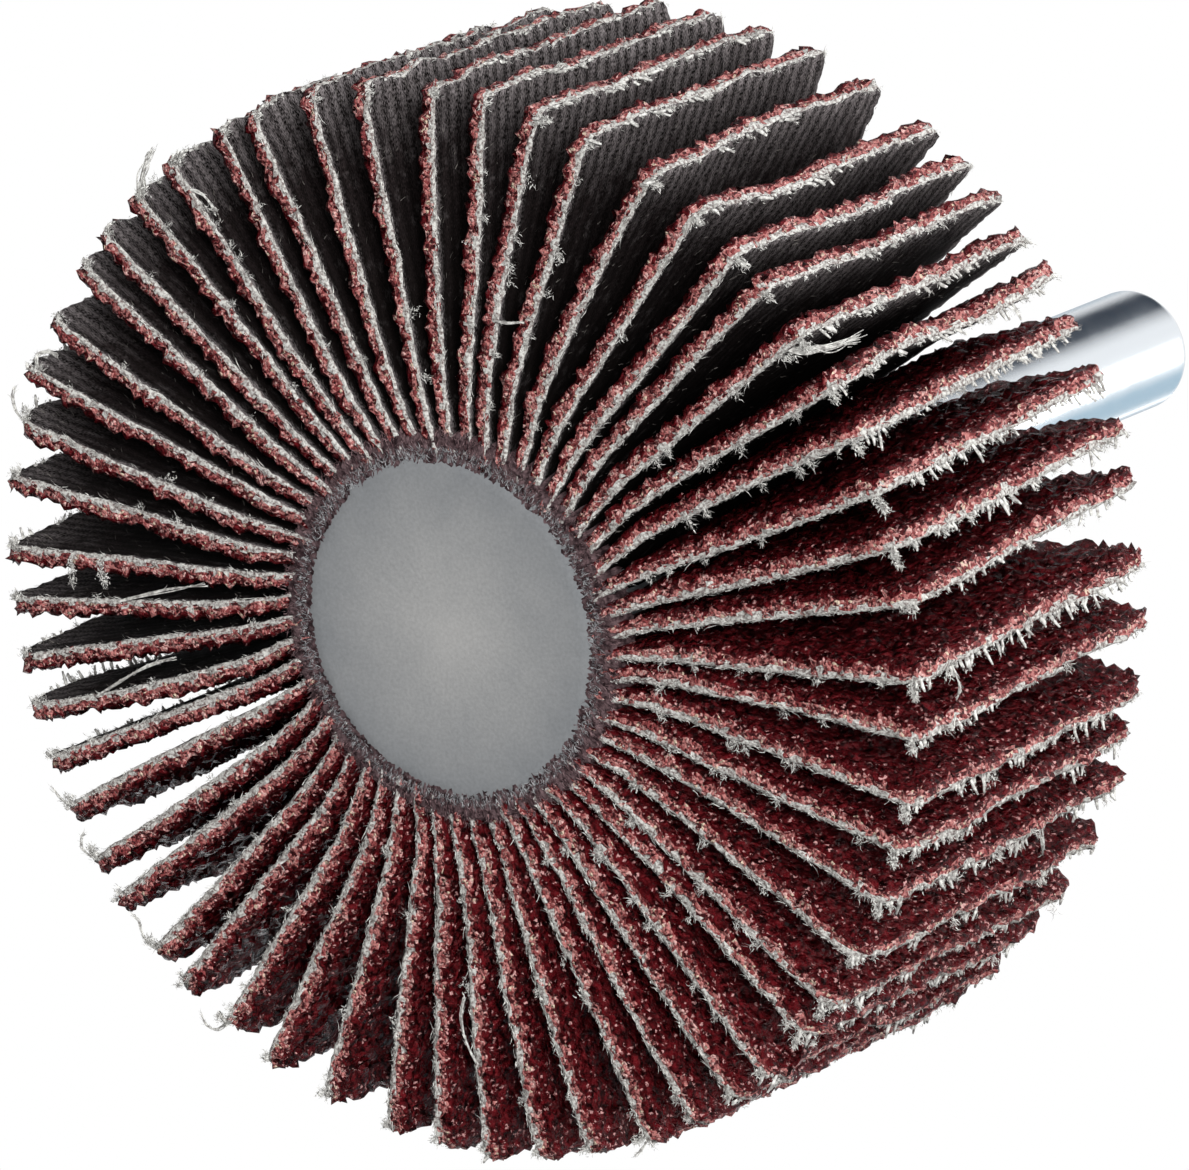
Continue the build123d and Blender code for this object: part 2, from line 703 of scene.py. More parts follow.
def wander(rng: Random, places: np.ndarray, spacing: float, size: float) -> np.ndarray:
    """A jagged line of random heights.

    Args:
        rng: The piece's random numbers.
        places: Where it is wanted.
        spacing: The distance between its corners.
        size: How high it goes.

    Returns:
        The height at each place.
    """
    start = float(places.min()) - spacing
    knots = np.arange(start, float(places.max()) + 2 * spacing, spacing)
    return np.interp(places, knots, rng.normal(0.0, size, len(knots)))


@dataclass
class Fuzz:
    """Fibres as thin curved blades, each of one quad and a pointed end.

    Attributes:
        width: How wide a fibre is.
        curl: How far its end bends aside, as a share of its length.
        floor: The least height of any of it.
    """

    width: float = 0.05
    curl: float = 0.35
    floor: float = 0.01

    def grow(self, stock: MeshStock, rng: Random, roots: np.ndarray, ways: np.ndarray, lengths: np.ndarray,
             slot: int) -> None:
        """Adds one fibre for each root.

        Args:
            stock: The piece that they join.
            rng: The piece's random numbers.
            roots: Where they start.
            ways: The way that each grows.
            lengths: Their lengths.
            slot: Their material slot.
        """
        count = len(roots)
        ways = unit(ways)
        across = unit(np.cross(ways, rng.normal(size=(count, 3))))
        bend = unit(np.cross(ways, rng.normal(size=(count, 3)))) * self.curl
        lengths = lengths[:, None]
        half = across * (self.width * rng.uniform(0.6, 1.3, (count, 1)) / 2)
        middle = roots + (ways * 0.5 + bend * 0.12) * lengths
        end = roots + (ways * 0.9 + bend * 0.6) * lengths
        points = np.stack((roots - half, roots + half, middle + half * 0.8, middle - half * 0.8, end), axis=1)
        points[..., 2] = np.maximum(points[..., 2], self.floor)
        first = stock.add_points(points) + points.shape[1] * np.arange(count)[:, None]
        stock.add_faces(first + np.array([0, 1, 2, 3]), slot)
        stock.add_faces(first + np.array([3, 2, 4]), slot)


@dataclass
class FlapShape:
    """The section of one flap, read from its CAD solid, with the sway that use has given it.

    Attributes:
        node: The CAD solid.
        twist: How far the free end lags behind at the back face, in degrees.
        hollow: How far the blade is hollowed towards the back face.
        bow: How far the whole blade is bowed.
        ripple: How high its ripples are.
        phase: Where they start, in radians.
        core: The core's radius.
        tip: The radius of the free ends.
        width: The wheel's width.
        ripple_up: How fast the ripples follow one another upwards, in radians to a millimetre.
        ripple_out: How fast they do outwards.
        samples: At how many radii the section is read.
        straight_from: The first of them that is on the straight of the blade.
        spare: How far the sides are carried on beyond the free end.
        radii: The radii at which the sides are known.
        grain_side: The grain side's angle at each.
        cloth_side: The cloth side's angle at each.
    """

    node: bpy.types.Object
    twist: float
    hollow: float
    bow: float
    ripple: float
    phase: float
    core: float
    tip: float
    width: float
    ripple_up: float = 0.42
    ripple_out: float = 0.2
    samples: int = 60
    straight_from: int = 40
    spare: float = 1.0
    radii: np.ndarray = field(init=False)
    grain_side: np.ndarray = field(init=False)
    cloth_side: np.ndarray = field(init=False)

    def __post_init__(self) -> None:
        """Reads the two sides of the section as angles at a row of radii."""
        mesh = self.node.data
        places = np.empty(len(mesh.vertices) * 3)
        mesh.vertices.foreach_get("co", places)
        places = places.reshape(-1, 3) / MM
        edges = np.array([edge.vertices[:] for edge in mesh.edges])
        low = places[edges]
        low = low[(np.abs(low[..., 2]) < 1e-3).all(axis=1)][..., :2]
        lean = np.arctan2(*low.reshape(-1, 2).mean(axis=0)[::-1])
        turn = np.array([[math.cos(lean), math.sin(lean)], [-math.sin(lean), math.cos(lean)]])
        low = low @ turn.T
        reach = np.linalg.norm(low, axis=-1)
        radii = np.linspace(reach.min() + 0.02, reach.max() - 0.02, self.samples)
        sides = np.array([self.crossings(low, reach, radius) for radius in radii])
        further = np.linspace(self.tip - 0.2, self.tip + self.spare, 5)
        ends = [self.carried_on(radii, sides[:, side], further) for side in (0, 1)]
        self.radii = np.concatenate((radii, further))
        self.grain_side = np.concatenate((sides[:, 0], ends[0])) + lean
        self.cloth_side = np.concatenate((sides[:, 1], ends[1])) + lean

    @staticmethod
    def crossings(low: np.ndarray, reach: np.ndarray, radius: float) -> tuple[float, float]:
        """Finds where the section's edges cross a circle.

        Args:
            low: The two ends of each edge.
            reach: Their distances from the axis.
            radius: The circle's radius.

        Returns:
            The least angle and the greatest.
        """
        hit = (reach.min(axis=1) <= radius) & (reach.max(axis=1) >= radius) & (np.ptp(reach, axis=1) > 1e-6)
        share = (radius - reach[hit, 0]) / (reach[hit, 1] - reach[hit, 0])
        points = low[hit, 0] + share[:, None] * (low[hit, 1] - low[hit, 0])
        angles = np.arctan2(points[:, 1], points[:, 0])
        return float(angles.min()), float(angles.max())

    def carried_on(self, radii: np.ndarray, angles: np.ndarray, further: np.ndarray) -> np.ndarray:
        """Carries a straight side on beyond the CAD solid's front corner.

        Args:
            radii: The radii that were read.
            angles: The side's angle at each.
            further: The radii beyond them.

        Returns:
            The side's angle at each of those.
        """
        ends = (self.straight_from, -1)
        near, far = (np.array([math.cos(angles[end]), math.sin(angles[end])]) * radii[end] for end in ends)
        step = far - near
        square, cross = step @ step, near @ step
        share = (-cross + np.sqrt(cross**2 - square * (near @ near - further**2))) / square
        points = near + share[:, None] * step
        return np.arctan2(points[:, 1], points[:, 0])

    def grain_at(self, radius: np.ndarray) -> np.ndarray:
        """The grain side's angle at each radius."""
        return np.interp(radius, self.radii, self.grain_side)

    def cloth_at(self, radius: np.ndarray) -> np.ndarray:
        """The cloth side's angle at each radius."""
        return np.interp(radius, self.radii, self.cloth_side)

    def thickness(self, radius: np.ndarray) -> np.ndarray:
        """The CAD flap's thickness at each radius."""
        return (self.cloth_at(radius) - self.grain_at(radius)) * radius

    def place(self, radius: np.ndarray, level: np.ndarray, depth: np.ndarray) -> np.ndarray:
        """Points of the flap.

        Args:
            radius: Their distance from the axis.
            level: Their height.
            depth: 0 on the CAD solid's grain side, 1 on its cloth side.

        Returns:
            The points, n by 3.
        """
        grain, cloth = self.grain_at(radius), self.cloth_at(radius)
        bend = self.core + 1.0
        free = np.clip((radius - bend) / (self.tip - bend), 0.0, 1.0)
        back = level / self.width
        sway = -math.radians(self.twist) * back * free**1.4
        sway += (self.bow - self.hollow * back**0.8) * np.sin(math.pi * free**0.8) / radius
        ripples = np.sin(self.phase + level * self.ripple_up + radius * self.ripple_out)
        sway += self.ripple * free * ripples / radius
        angle = grain + (cloth - grain) * depth + sway
        return np.stack((radius * np.cos(angle), radius * np.sin(angle), level), axis=-1)

    def sideways(self, radius: np.ndarray) -> np.ndarray:
        """The way square to the flap at each radius, out of its cloth side."""
        angle = self.cloth_at(radius)
        return np.stack((-np.sin(angle), np.cos(angle), np.zeros_like(angle)), axis=-1)

    def outwards(self, radius: np.ndarray) -> np.ndarray:
        """The way out along the flap at each radius."""
        angle = self.cloth_at(radius)
        return np.stack((np.cos(angle), np.sin(angle), np.zeros_like(angle)), axis=-1)

    def axes(self, radius: float) -> np.ndarray:
        """The ways outwards, sideways and up at one radius, a row each."""
        at = np.array([radius])
        return np.stack((self.outwards(at)[0], self.sideways(at)[0], np.array((0.0, 0.0, 1.0))))


@dataclass
class FlapBuilder:
    """Builds one flap's sheet, cut edge and fray over its shape.

    Attributes:
        shape: The flap's shape.
        rng: Its random numbers.
        root: The radius at which the sheet starts.
        front_gap: How far the front edge stands above the floor.
        back_gap: How far the back edge stands below the CAD solid's.
        overhang: How far the free end stands past the CAD solid's.
        most_overhang: The most that it does anywhere.
        wear: How much is worn off the outer corners.
        wear_reach: How far from the corners the wear is felt.
        corner_rise: How far the front and back edges draw in at the corners.
        grain_bed: How deep under the CAD solid's grain side the grain stands, as a share of the thickness.
        grain_height: The height of the grain.
        ridge_chance: How often a grain runs on to its neighbour.
        edge_layers: How many rows of faces the cut edge has.
        grain_share: The share of the cut edge that looks like the grain side.
        cloth_share: The share of it from which it is cloth.
        cloth_middle: The depth of the middle of the cloth.
        edge_cotton: How many fibres the cottony line on the front edge, the back edge and the free end has.
        nap_hairs: How many short fibres lie along the cloth side.
        rib_spacing: How far apart the yarns are that fray at the free end.
        yarn_hairs: How many hairs each of them has.
        stock: The flap's points and faces.
    """

    shape: FlapShape
    rng: Random
    root: float = 8.05
    front_gap: float = 0.14
    back_gap: float = 0.06
    overhang: float = 0.26
    most_overhang: float = 0.65
    # wear: How much wear has taken off the outer corners.
    wear: float = 0.30
    wear_reach: float = 0.9
    corner_rise: float = 0.22
    grain_bed: float = 0.27
    grain_height: float = 0.43
    ridge_chance: float = 0.45
    edge_layers: int = 5
    grain_share: float = 0.16
    cloth_share: float = 0.68
    cloth_middle: float = 0.88
    edge_cotton: tuple[int, int, int] = (820, 110, 190)
    nap_hairs: int = 150
    rib_spacing: float = 0.34
    yarn_hairs: int = 14
    stock: MeshStock = field(default_factory=MeshStock)

    def lines(self) -> tuple[np.ndarray, np.ndarray]:
        """The sheet's lines, which are closer together near the cut edges.

        Returns:
            Shares of the way out, and shares of the way up.
        """
        out = np.concatenate((np.linspace(0.0, 0.88, 49), np.linspace(0.88, 1.0, 9)[1:]))
        middle, top = np.linspace(0.06, 0.96, 43)[1:], np.linspace(0.96, 1.0, 3)[1:]
        up = np.concatenate((np.linspace(0.0, 0.06, 7), middle, top))
        return out, up

    def shaken(self, out: np.ndarray, up: np.ndarray) -> tuple[np.ndarray, np.ndarray]:
        """Shifts the sheet's points a little off its lines.

        Args:
            out: Shares of the way out.
            up: Shares of the way up.

        Returns:
            Each point's share of the way out, and of the way up.
        """
        share_out, share_up = np.meshgrid(out, up, indexing="ij")
        shift_out = self.rng.uniform(-0.32, 0.32, share_out.shape) * np.gradient(out)[:, None]
        shift_up = self.rng.uniform(-0.32, 0.32, share_up.shape) * np.gradient(up)[None, :]
        shift_out[[0, -1], :] = 0.0
        shift_out[:, [0, -1]] *= 0.6
        shift_up[:, [0, -1]] = 0.0
        return share_out + shift_out, share_up + shift_up

    def cut_lines(self, radii: np.ndarray, levels: np.ndarray) -> tuple[np.ndarray, np.ndarray, np.ndarray]:
        """The ragged lines that the sheet is cut to.

        Args:
            radii: A row of radii.
            levels: A row of heights.

        Returns:
            The free end's radius at each height, and the front and the back edge's height at each radius.
        """
        shape, rng, reach = self.shape, self.rng, self.wear_reach
        near_front = np.clip(1 - levels / reach, 0, 1) ** 2
        near_back = np.clip(1 - (shape.width - levels) / reach, 0, 1) ** 2
        wear = self.wear * near_front + self.wear * near_back
        tip = shape.tip + self.overhang + wander(rng, levels, 0.35, 0.08)
        tip = tip + wander(rng, levels, 2.2, 0.10) - wear
        corner = self.corner_rise * np.clip((radii - shape.tip + reach) / reach, 0, 1) ** 2
        front = self.front_gap + np.abs(wander(rng, radii, 0.35, 0.085))
        front = front + np.abs(wander(rng, radii, 2.5, 0.07)) + corner
        back = shape.width - self.back_gap - np.abs(wander(rng, radii, 0.4, 0.06)) - corner
        return np.minimum(tip, shape.tip + self.most_overhang), front, back

    def grain_peaks(self, radius: np.ndarray) -> np.ndarray:
        """Random heights for the grain.

        Args:
            radius: The radius of each of the sheet's points.

        Returns:
            The height of the grain at each.
        """
        peaks = self.rng.random(radius.shape) ** 2.0 * self.grain_height
        ridged = self.rng.random(radius.shape) < self.ridge_chance
        peaks = np.where(ridged, np.maximum(peaks, 0.8 * np.roll(peaks, 1, axis=0)), peaks)
        return peaks * np.clip((radius - 8.6) / 3.0, 0.25, 1.0)

    def build(self, long_fray: float, fluff: float) -> MeshStock:
        """Builds the flap.

        Args:
            long_fray: How much of the long fray this flap has, from 0 to 1.
            fluff: How thick the cottony line on its front edge is, 1 at most.

        Returns:
            The flap's points and faces.
        """
        shape = self.shape
        out, up = self.lines()
        share_out, share_up = self.shaken(out, up)
        levels = up * shape.width
        radii = self.root + out * (shape.tip - self.root)
        tip, front, back = self.cut_lines(radii, levels)
        radius = self.root + share_out * (tip[None, :] - self.root)
        level = front[:, None] + share_up * (back - front)[:, None]
        numbers = np.arange(radius.size).reshape(radius.shape)

        grain_depth = self.grain_bed - self.grain_peaks(radius) / shape.thickness(radius)
        grain = self.stock.add_points(shape.place(radius, level, grain_depth)) + numbers
        corners = (grain[:-1, :-1], grain[1:, :-1], grain[1:, 1:], grain[:-1, 1:])
        self.stock.add_faces(np.stack(corners, axis=-1).reshape(-1, 4), Layer.GRAIN)

        cloth_depth = 1.0 + self.rng.normal(0.0, 0.035, radius.shape)
        cloth = self.stock.add_points(shape.place(radius, level, cloth_depth)) + numbers
        self.cloth_side(cloth)
        self.cut_edge(radius, level, (grain_depth, cloth_depth), (grain, cloth))
        on_front, on_back, on_end = self.edge_cotton
        self.cotton(int(on_front * fluff), radii, front, -1.0)
        self.cotton(on_back, radii, back, 1.0)
        self.fringe(tip, levels, long_fray)
        self.end_cotton(on_end, tip, levels)
        self.tufts(tip, levels, front, radii, long_fray)
        self.nap(self.nap_hairs)
        return self.stock

    def cloth_side(self, numbers: np.ndarray) -> None:
        """Adds the faces of the cloth side, four sheet cells each, which meet the finer lines at the edges.

        Args:
            numbers: The numbers of its points, by row and column.
        """
        last_row, last_column = (size - 1 for size in numbers.shape)
        for i in range(0, last_row, 2):
            for j in range(0, last_column, 2):
                loop = [numbers[i, j]]
                loop += [numbers[i, j + 1]] if i == 0 else []
                loop += [numbers[i, j + 2]]
                loop += [numbers[i + 1, j + 2]] if j + 2 == last_column else []
                loop += [numbers[i + 2, j + 2]]
                loop += [numbers[i + 2, j + 1]] if i + 2 == last_row else []
                loop += [numbers[i + 2, j]]
                loop += [numbers[i + 1, j]] if j == 0 else []
                self.stock.add_faces(np.array([loop]), Layer.CLOTH)

    def cut_edge(self, radius: np.ndarray, level: np.ndarray, depths: tuple[np.ndarray, np.ndarray],
                 numbers: tuple[np.ndarray, np.ndarray]) -> None:
        """Closes the sheet all round, with grain on one half of the cut edge and cloth on the other.

        Args:
            radius: The sheet's radii.
            level: The sheet's heights.
            depths: The depths of its grain side and of its cloth side.
            numbers: The numbers of its grain side's points and of its cloth side's.
        """
        last_row, last_column = (size - 1 for size in radius.shape)
        ring = [(i, 0) for i in range(last_row)]
        ring += [(last_row, j) for j in range(last_column)]
        ring += [(i, last_column) for i in range(last_row, 0, -1)]
        ring += [(0, j) for j in range(last_column, 0, -1)]
        rows, columns = np.array(ring).T
        out = (rows == last_row).astype(float) - (rows == 0)
        up = (columns == last_column).astype(float) - (columns == 0)
        grain_depth, cloth_depth = (depth[rows, columns] for depth in depths)
        grain, cloth = (number[rows, columns] for number in numbers)
        count, rng = len(ring), self.rng
        layers = [grain]
        for step in range(1, self.edge_layers):
            share = step / self.edge_layers
            depth = grain_depth + (cloth_depth - grain_depth) * share + rng.normal(0.0, 0.035, count)
            stand = rng.normal(0.02, 0.10, count) if share < 0.62 else rng.normal(0.05, 0.06, count)
            edge_radius = radius[rows, columns] + out * stand
            edge_level = np.clip(level[rows, columns] + up * stand, 0.02, self.shape.width)
            first = self.stock.add_points(self.shape.place(edge_radius, edge_level, depth))
            layers.append(first + np.arange(count))
        layers.append(cloth)
        for step, (near, far) in enumerate(zip(layers, layers[1:])):
            faces = np.stack((near, far, np.roll(far, -1), np.roll(near, -1)), axis=-1)
            share = (step + 0.5) / self.edge_layers + rng.normal(0.0, 0.10, count)
            red = np.where(share < self.grain_share, Layer.GRAIN, Layer.CUT_GRAIN)
            slots = np.where(share < self.cloth_share, red, Layer.CUT_CLOTH)
            self.stock.add_faces(faces, slots)

    def edge_depths(self, count: int) -> np.ndarray:
        """Random depths in the cloth's cut edge, for fibres to start from."""
        return np.clip(self.rng.normal(self.cloth_middle, 0.10, count), 0.6, 1.04)

    def cotton(self, count: int, radii: np.ndarray, edge: np.ndarray, up: float) -> None:
        """Grows the cottony line of fibre ends along the front or back edge.

        Args:
            count: How many fibres it has.
            radii: A row of radii.
            edge: The edge's height at each.
            up: -1 for the front edge, 1 for the back edge.
        """
        rng, shape = self.rng, self.shape
        clumps = rng.random(count // 9)
        share = np.clip(rng.choice(clumps, count) + rng.normal(0.0, 0.016, count), 0.0, 1.0)
        radius = self.root + 0.5 + share * (shape.tip - self.root - 0.5)
        level = np.interp(radius, radii, edge) + up * rng.normal(0.0, 0.03, count)
        roots = shape.place(radius, level, self.edge_depths(count))
        stray = rng.random(count) < 0.035
        flow = rng.choice((-1.0, 1.0), count) * rng.uniform(0.5, 1.0, count)
        lean = np.where(stray, rng.uniform(0.2, 1.0, count), rng.uniform(-0.25, 0.30, count))
        lift = np.where(stray, rng.uniform(0.1, 0.8, count), rng.uniform(-0.1, 0.25, count))
        ways = shape.outwards(radius) * flow[:, None] + shape.sideways(radius) * lean[:, None]
        ways[:, 2] += up * lift
        reach = rng.gamma(2.6, 0.095, count) * np.clip((radius - 6.5) / 6.0, 0.5, 1.0)
        Fuzz(width=0.034, curl=0.35).grow(self.stock, rng, roots, ways, np.minimum(reach, 0.7), Layer.FIBRE)

    def fringe(self, tip: np.ndarray, levels: np.ndarray, long_fray: float) -> None:
        """Grows a fringe on the free end, where each rib of the cloth ends in a frayed yarn.

        Args:
            tip: The free end's radius at each level.
            levels: The heights of those.
            long_fray: How much long fray there is, from 0 to 1.
        """
        rng, shape = self.rng, self.shape
        ribs = np.arange(0.25, shape.width - 0.15, self.rib_spacing)
        lengths = np.clip(rng.gamma(2.2, 0.19, len(ribs)) * (0.1 + 1.0 * long_fray), 0.0, 0.65)
        lengths *= np.clip(0.8 + wander(rng, ribs, 1.6, 0.6), 0.0, 1.2)
        ribs, lengths = ribs[lengths > 0.12], lengths[lengths > 0.12]
        count = len(ribs)
        ribs = ribs + rng.normal(0.0, 0.09, count)
        radius = np.interp(ribs, levels, tip) - 0.10
        roots = shape.place(radius, ribs, rng.normal(0.86, 0.07, count))
        ways = shape.outwards(radius) * rng.uniform(0.1, 0.6, (count, 1))
        ways += shape.sideways(radius) * rng.uniform(0.6, 1.6, (count, 1))
        ways[:, 2] += rng.normal(0.0, 0.28, count)
        ways = unit(ways)
        self.yarns(roots, ways, lengths)
        yarn = np.repeat(np.arange(count), self.yarn_hairs)
        along = ways[yarn] * (lengths[yarn] * rng.uniform(0.1, 0.95, len(yarn)))[:, None]
        starts = roots[yarn] + along + rng.normal(0.0, 0.065, (len(yarn), 3))
        leans = ways[yarn] + rng.normal(0.0, 0.6, (len(yarn), 3))
        reach = rng.uniform(0.08, 0.22, len(yarn))
        Fuzz(width=0.036, curl=0.6).grow(self.stock, rng, starts, leans, reach, Layer.FIBRE)

    def end_cotton(self, count: int, tip: np.ndarray, levels: np.ndarray) -> None:
        """Grows the cottony line of fibre ends along the free end.

        Args:
            count: How many fibres it has.
            tip: The free end's radius at each level.
            levels: The heights of those.
        """
        rng, shape = self.rng, self.shape
        level = rng.uniform(0.1, shape.width - 0.1, count)
        radius = np.interp(level, levels, tip) - 0.02
        roots = shape.place(radius, level, self.edge_depths(count))
        ways = shape.outwards(radius) * rng.uniform(-0.3, 0.12, (count, 1))
        ways += shape.sideways(radius) * rng.uniform(-0.1, 0.35, (count, 1))
        ways[:, 2] += rng.choice((-1.0, 1.0), count) * rng.uniform(0.5, 1.0, count)
        reach = rng.gamma(2.6, 0.075, count)
        Fuzz(width=0.038, curl=0.4).grow(self.stock, rng, roots, ways, reach, Layer.FIBRE)

    def yarns(self, roots: np.ndarray, ways: np.ndarray, lengths: np.ndarray) -> None:
        """Adds a blunt yarn end for each root.

        Args:
            roots: Where they start.
            ways: The way that each points.
            lengths: Their lengths.
        """
        rng, count = self.rng, len(roots)
        first_side = unit(np.cross(ways, rng.normal(size=(count, 3))))
        hoop = hoops(first_side, np.cross(ways, first_side))
        sag = unit(rng.normal(size=(count, 3))) * 0.3
        rings = []
        for share, girth in ((-0.2, 0.060), (0.5, 0.085), (1.0, 0.050)):
            centre = roots + (ways * share + sag * share**2) * lengths[:, None]
            rings.append(centre[:, None, :] + hoop * girth * rng.uniform(0.7, 1.3, (*hoop.shape[:2], 1)))
        points = np.stack(rings, axis=1)
        points[..., 2] = np.maximum(points[..., 2], 0.01)
        numbers = self.stock.add_points(points) + np.arange(points.size // 3).reshape(points.shape[:3])
        self.stock.add_tubes(numbers, Layer.FIBRE)
        self.stock.add_faces(numbers[:, -1], Layer.FIBRE)

    def tufts(self, tip: np.ndarray, levels: np.ndarray, front: np.ndarray, radii: np.ndarray,
              long_fray: float) -> None:
        """Grows a few bigger tufts along the free end and the front edge.

        Args:
            tip: The free end's radius at each level.
            levels: The heights of those.
            front: The front edge's height at each radius.
            radii: The radii of those.
            long_fray: How much long fray there is, from 0 to 1.
        """
        rng, shape = self.rng, self.shape
        for _ in range(int(2 + 5 * long_fray)):
            if rng.random() < 0.5:
                level = np.array([rng.uniform(0.3, shape.width - 0.4)])
                radius = np.interp(level, levels, tip)
                away = shape.outwards(radius)[0]
            else:
                radius = np.array([rng.uniform(11.0, shape.tip - 0.5)])
                level = np.interp(radius, radii, front)
                away = shape.outwards(radius)[0] * rng.uniform(-0.6, 0.6) + np.array((0.0, 0.0, -0.3))
            count = int(rng.integers(26, 44))
            size = rng.uniform(0.6, 1.1) * (0.7 + 0.6 * long_fray)
            centre = shape.place(radius, level, np.array([self.cloth_middle]))
            lean = unit(away * rng.uniform(0.2, 1.0) + shape.sideways(radius)[0] * rng.uniform(0.1, 1.2))
            roots = centre + rng.normal(0.0, 0.09, (count, 3))
            roots = roots + lean * rng.uniform(0.0, 0.35 * size, (count, 1))
            ways = lean * 0.7 + rng.normal(0.0, 0.5, (count, 3))
            reach = rng.uniform(0.12, 0.32, count) * size
            Fuzz(width=0.036, curl=0.9).grow(self.stock, rng, roots, ways, reach, Layer.FIBRE)

    def nap(self, count: int) -> None:
        """Grows short fibres that lie along the cloth side, thicker towards its edges.

        Args:
            count: How many there are.
        """
        rng, shape = self.rng, self.shape
        share = 1 - rng.random(count) ** 2
        radius = self.root + 2.0 + share * (shape.tip - self.root - 2.2)
        level = 0.3 + rng.random(count) ** 1.5 * (shape.width - 0.8)
        roots = shape.place(radius, level, np.full(count, 1.0))
        ways = shape.outwards(radius) * rng.uniform(0.4, 1.0, (count, 1))
        ways += shape.sideways(radius) * rng.uniform(0.1, 0.5, (count, 1))
        ways[:, 2] += rng.normal(0.0, 0.3, count)
        Fuzz(width=0.035).grow(self.stock, rng, roots, ways, rng.uniform(0.15, 0.45, count), Layer.NAP)


@dataclass(frozen=True)
class Tuft:
    """A clump of cottony fibre that hangs from a flap's front edge.

    Attributes:
        flap: The flap's number.
        radius: Where on the flap it is, out from the axis.
        reach: How far it goes outwards, sideways and up.
        count: How many fibres it has.
    """

    flap: int
    radius: float
    reach: Triple
    count: int

    def grow(self, stock: MeshStock, shape: FlapShape, rng: Random) -> None:
        """Adds the tuft to its flap.

        Args:
            stock: The flap's points and faces.
            shape: The flap's shape.
            rng: The flap's random numbers.
        """
        way = np.array(self.reach) @ shape.axes(self.radius)
        size = float(np.linalg.norm(way))
        level, depth = (0.32, 0.9) if self.reach[1] > 0 else (0.12, 0.75)
        centre = shape.place(np.array([self.radius]), np.array([level]), np.array([depth]))
        share = rng.uniform(0.0, 0.9, (self.count, 1))
        girth = 0.6 + 0.8 * np.sin(math.pi * share)
        roots = centre + way * share + rng.normal(0.0, 0.09, (self.count, 3)) * girth
        ways = way / size * 0.7 + rng.normal(0.0, 0.5, (self.count, 3))
        reach = rng.uniform(0.10, 0.24, self.count)
        Fuzz(width=0.048, curl=0.7).grow(stock, rng, roots, ways, reach, Layer.FIBRE)


@dataclass
class StrayThread:
    """A long pale thread pulled out of a flap's cloth, in loosely laid strands.

    Attributes:
        flap: The flap's number.
        radius: Where on the flap it starts, out from the axis.
        level: How high it starts.
        steps: How far each stretch of it goes outwards, sideways and up.
        width: Its thickness.
        strands: How many strands it has.
        floor: The least height of any of its strands.
    """

    flap: int
    radius: float
    level: float
    steps: tuple[Triple, ...]
    width: float
    strands: int = 4
    floor: float = 0.06

    def grow(self, stock: MeshStock, shape: FlapShape, rng: Random) -> None:
        """Adds the strands and the short fibres round them to the flap, along a smooth line.

        Args:
            stock: The flap's points and faces.
            shape: The flap's shape.
            rng: The flap's random numbers.
        """
        corner = shape.place(np.array([self.radius]), np.array([self.level]), np.array([0.9]))[0]
        steps = np.array(self.steps) @ shape.axes(self.radius)
        knots = np.vstack((corner, corner + np.cumsum(steps, axis=0)))
        line = self.eased(knots)
        for _ in range(self.strands):
            apart = rng.normal(0.0, self.width * 0.30, knots.shape)
            apart[0] *= 0.3
            self.strand(stock, self.eased(knots + apart))
        count = 12 * len(knots)
        picked = rng.integers(0, len(line), count)
        roots = line[picked] + rng.normal(0.0, self.width * 0.22, (count, 3))
        ways = unit(np.gradient(line, axis=0))[picked] + rng.normal(0.0, 0.22, (count, 3))
        Fuzz(width=0.034, curl=0.4).grow(stock, rng, roots, ways, rng.uniform(0.12, 0.4, count), Layer.FIBRE)

    @staticmethod
    def eased(knots: np.ndarray) -> np.ndarray:
        """Draws a smooth line by a row of knots.

        Args:
            knots: The knots, n by 3.

        Returns:
            The line's points.
        """
        places = np.linspace(0, len(knots) - 1, 8 * (len(knots) - 1) + 1)
        numbers = np.arange(len(knots))
        line = np.stack([np.interp(places, numbers, along_axis) for along_axis in knots.T], axis=1)
        for _ in range(10):
            line[1:-1] = (line[:-2] + 2 * line[1:-1] + line[2:]) / 4
        return line

    def strand(self, stock: MeshStock, line: np.ndarray) -> None:
        """Adds one tapering round strand.

        Args:
            stock: The flap's points and faces.
            line: The points that it runs along.
        """
        line[:, 2] = np.maximum(line[:, 2], self.floor)
        along = unit(np.gradient(line, axis=0))
        first_side = unit(np.cross(along, np.array((0.2, 0.3, 0.93))))
        hoop = hoops(first_side, np.cross(along, first_side))
        width = self.width * 1.5 / self.strands**0.8
        taper = width / 2 * np.linspace(1.0, 0.4, len(line))[:, None, None]
        first = stock.add_points(line[:, None, :] + hoop * taper)
        numbers = first + np.arange(hoop.size // 3).reshape(hoop.shape[:2])
        stock.add_tubes(numbers, Layer.FIBRE)
        stock.add_faces(numbers[-1:], Layer.FIBRE)


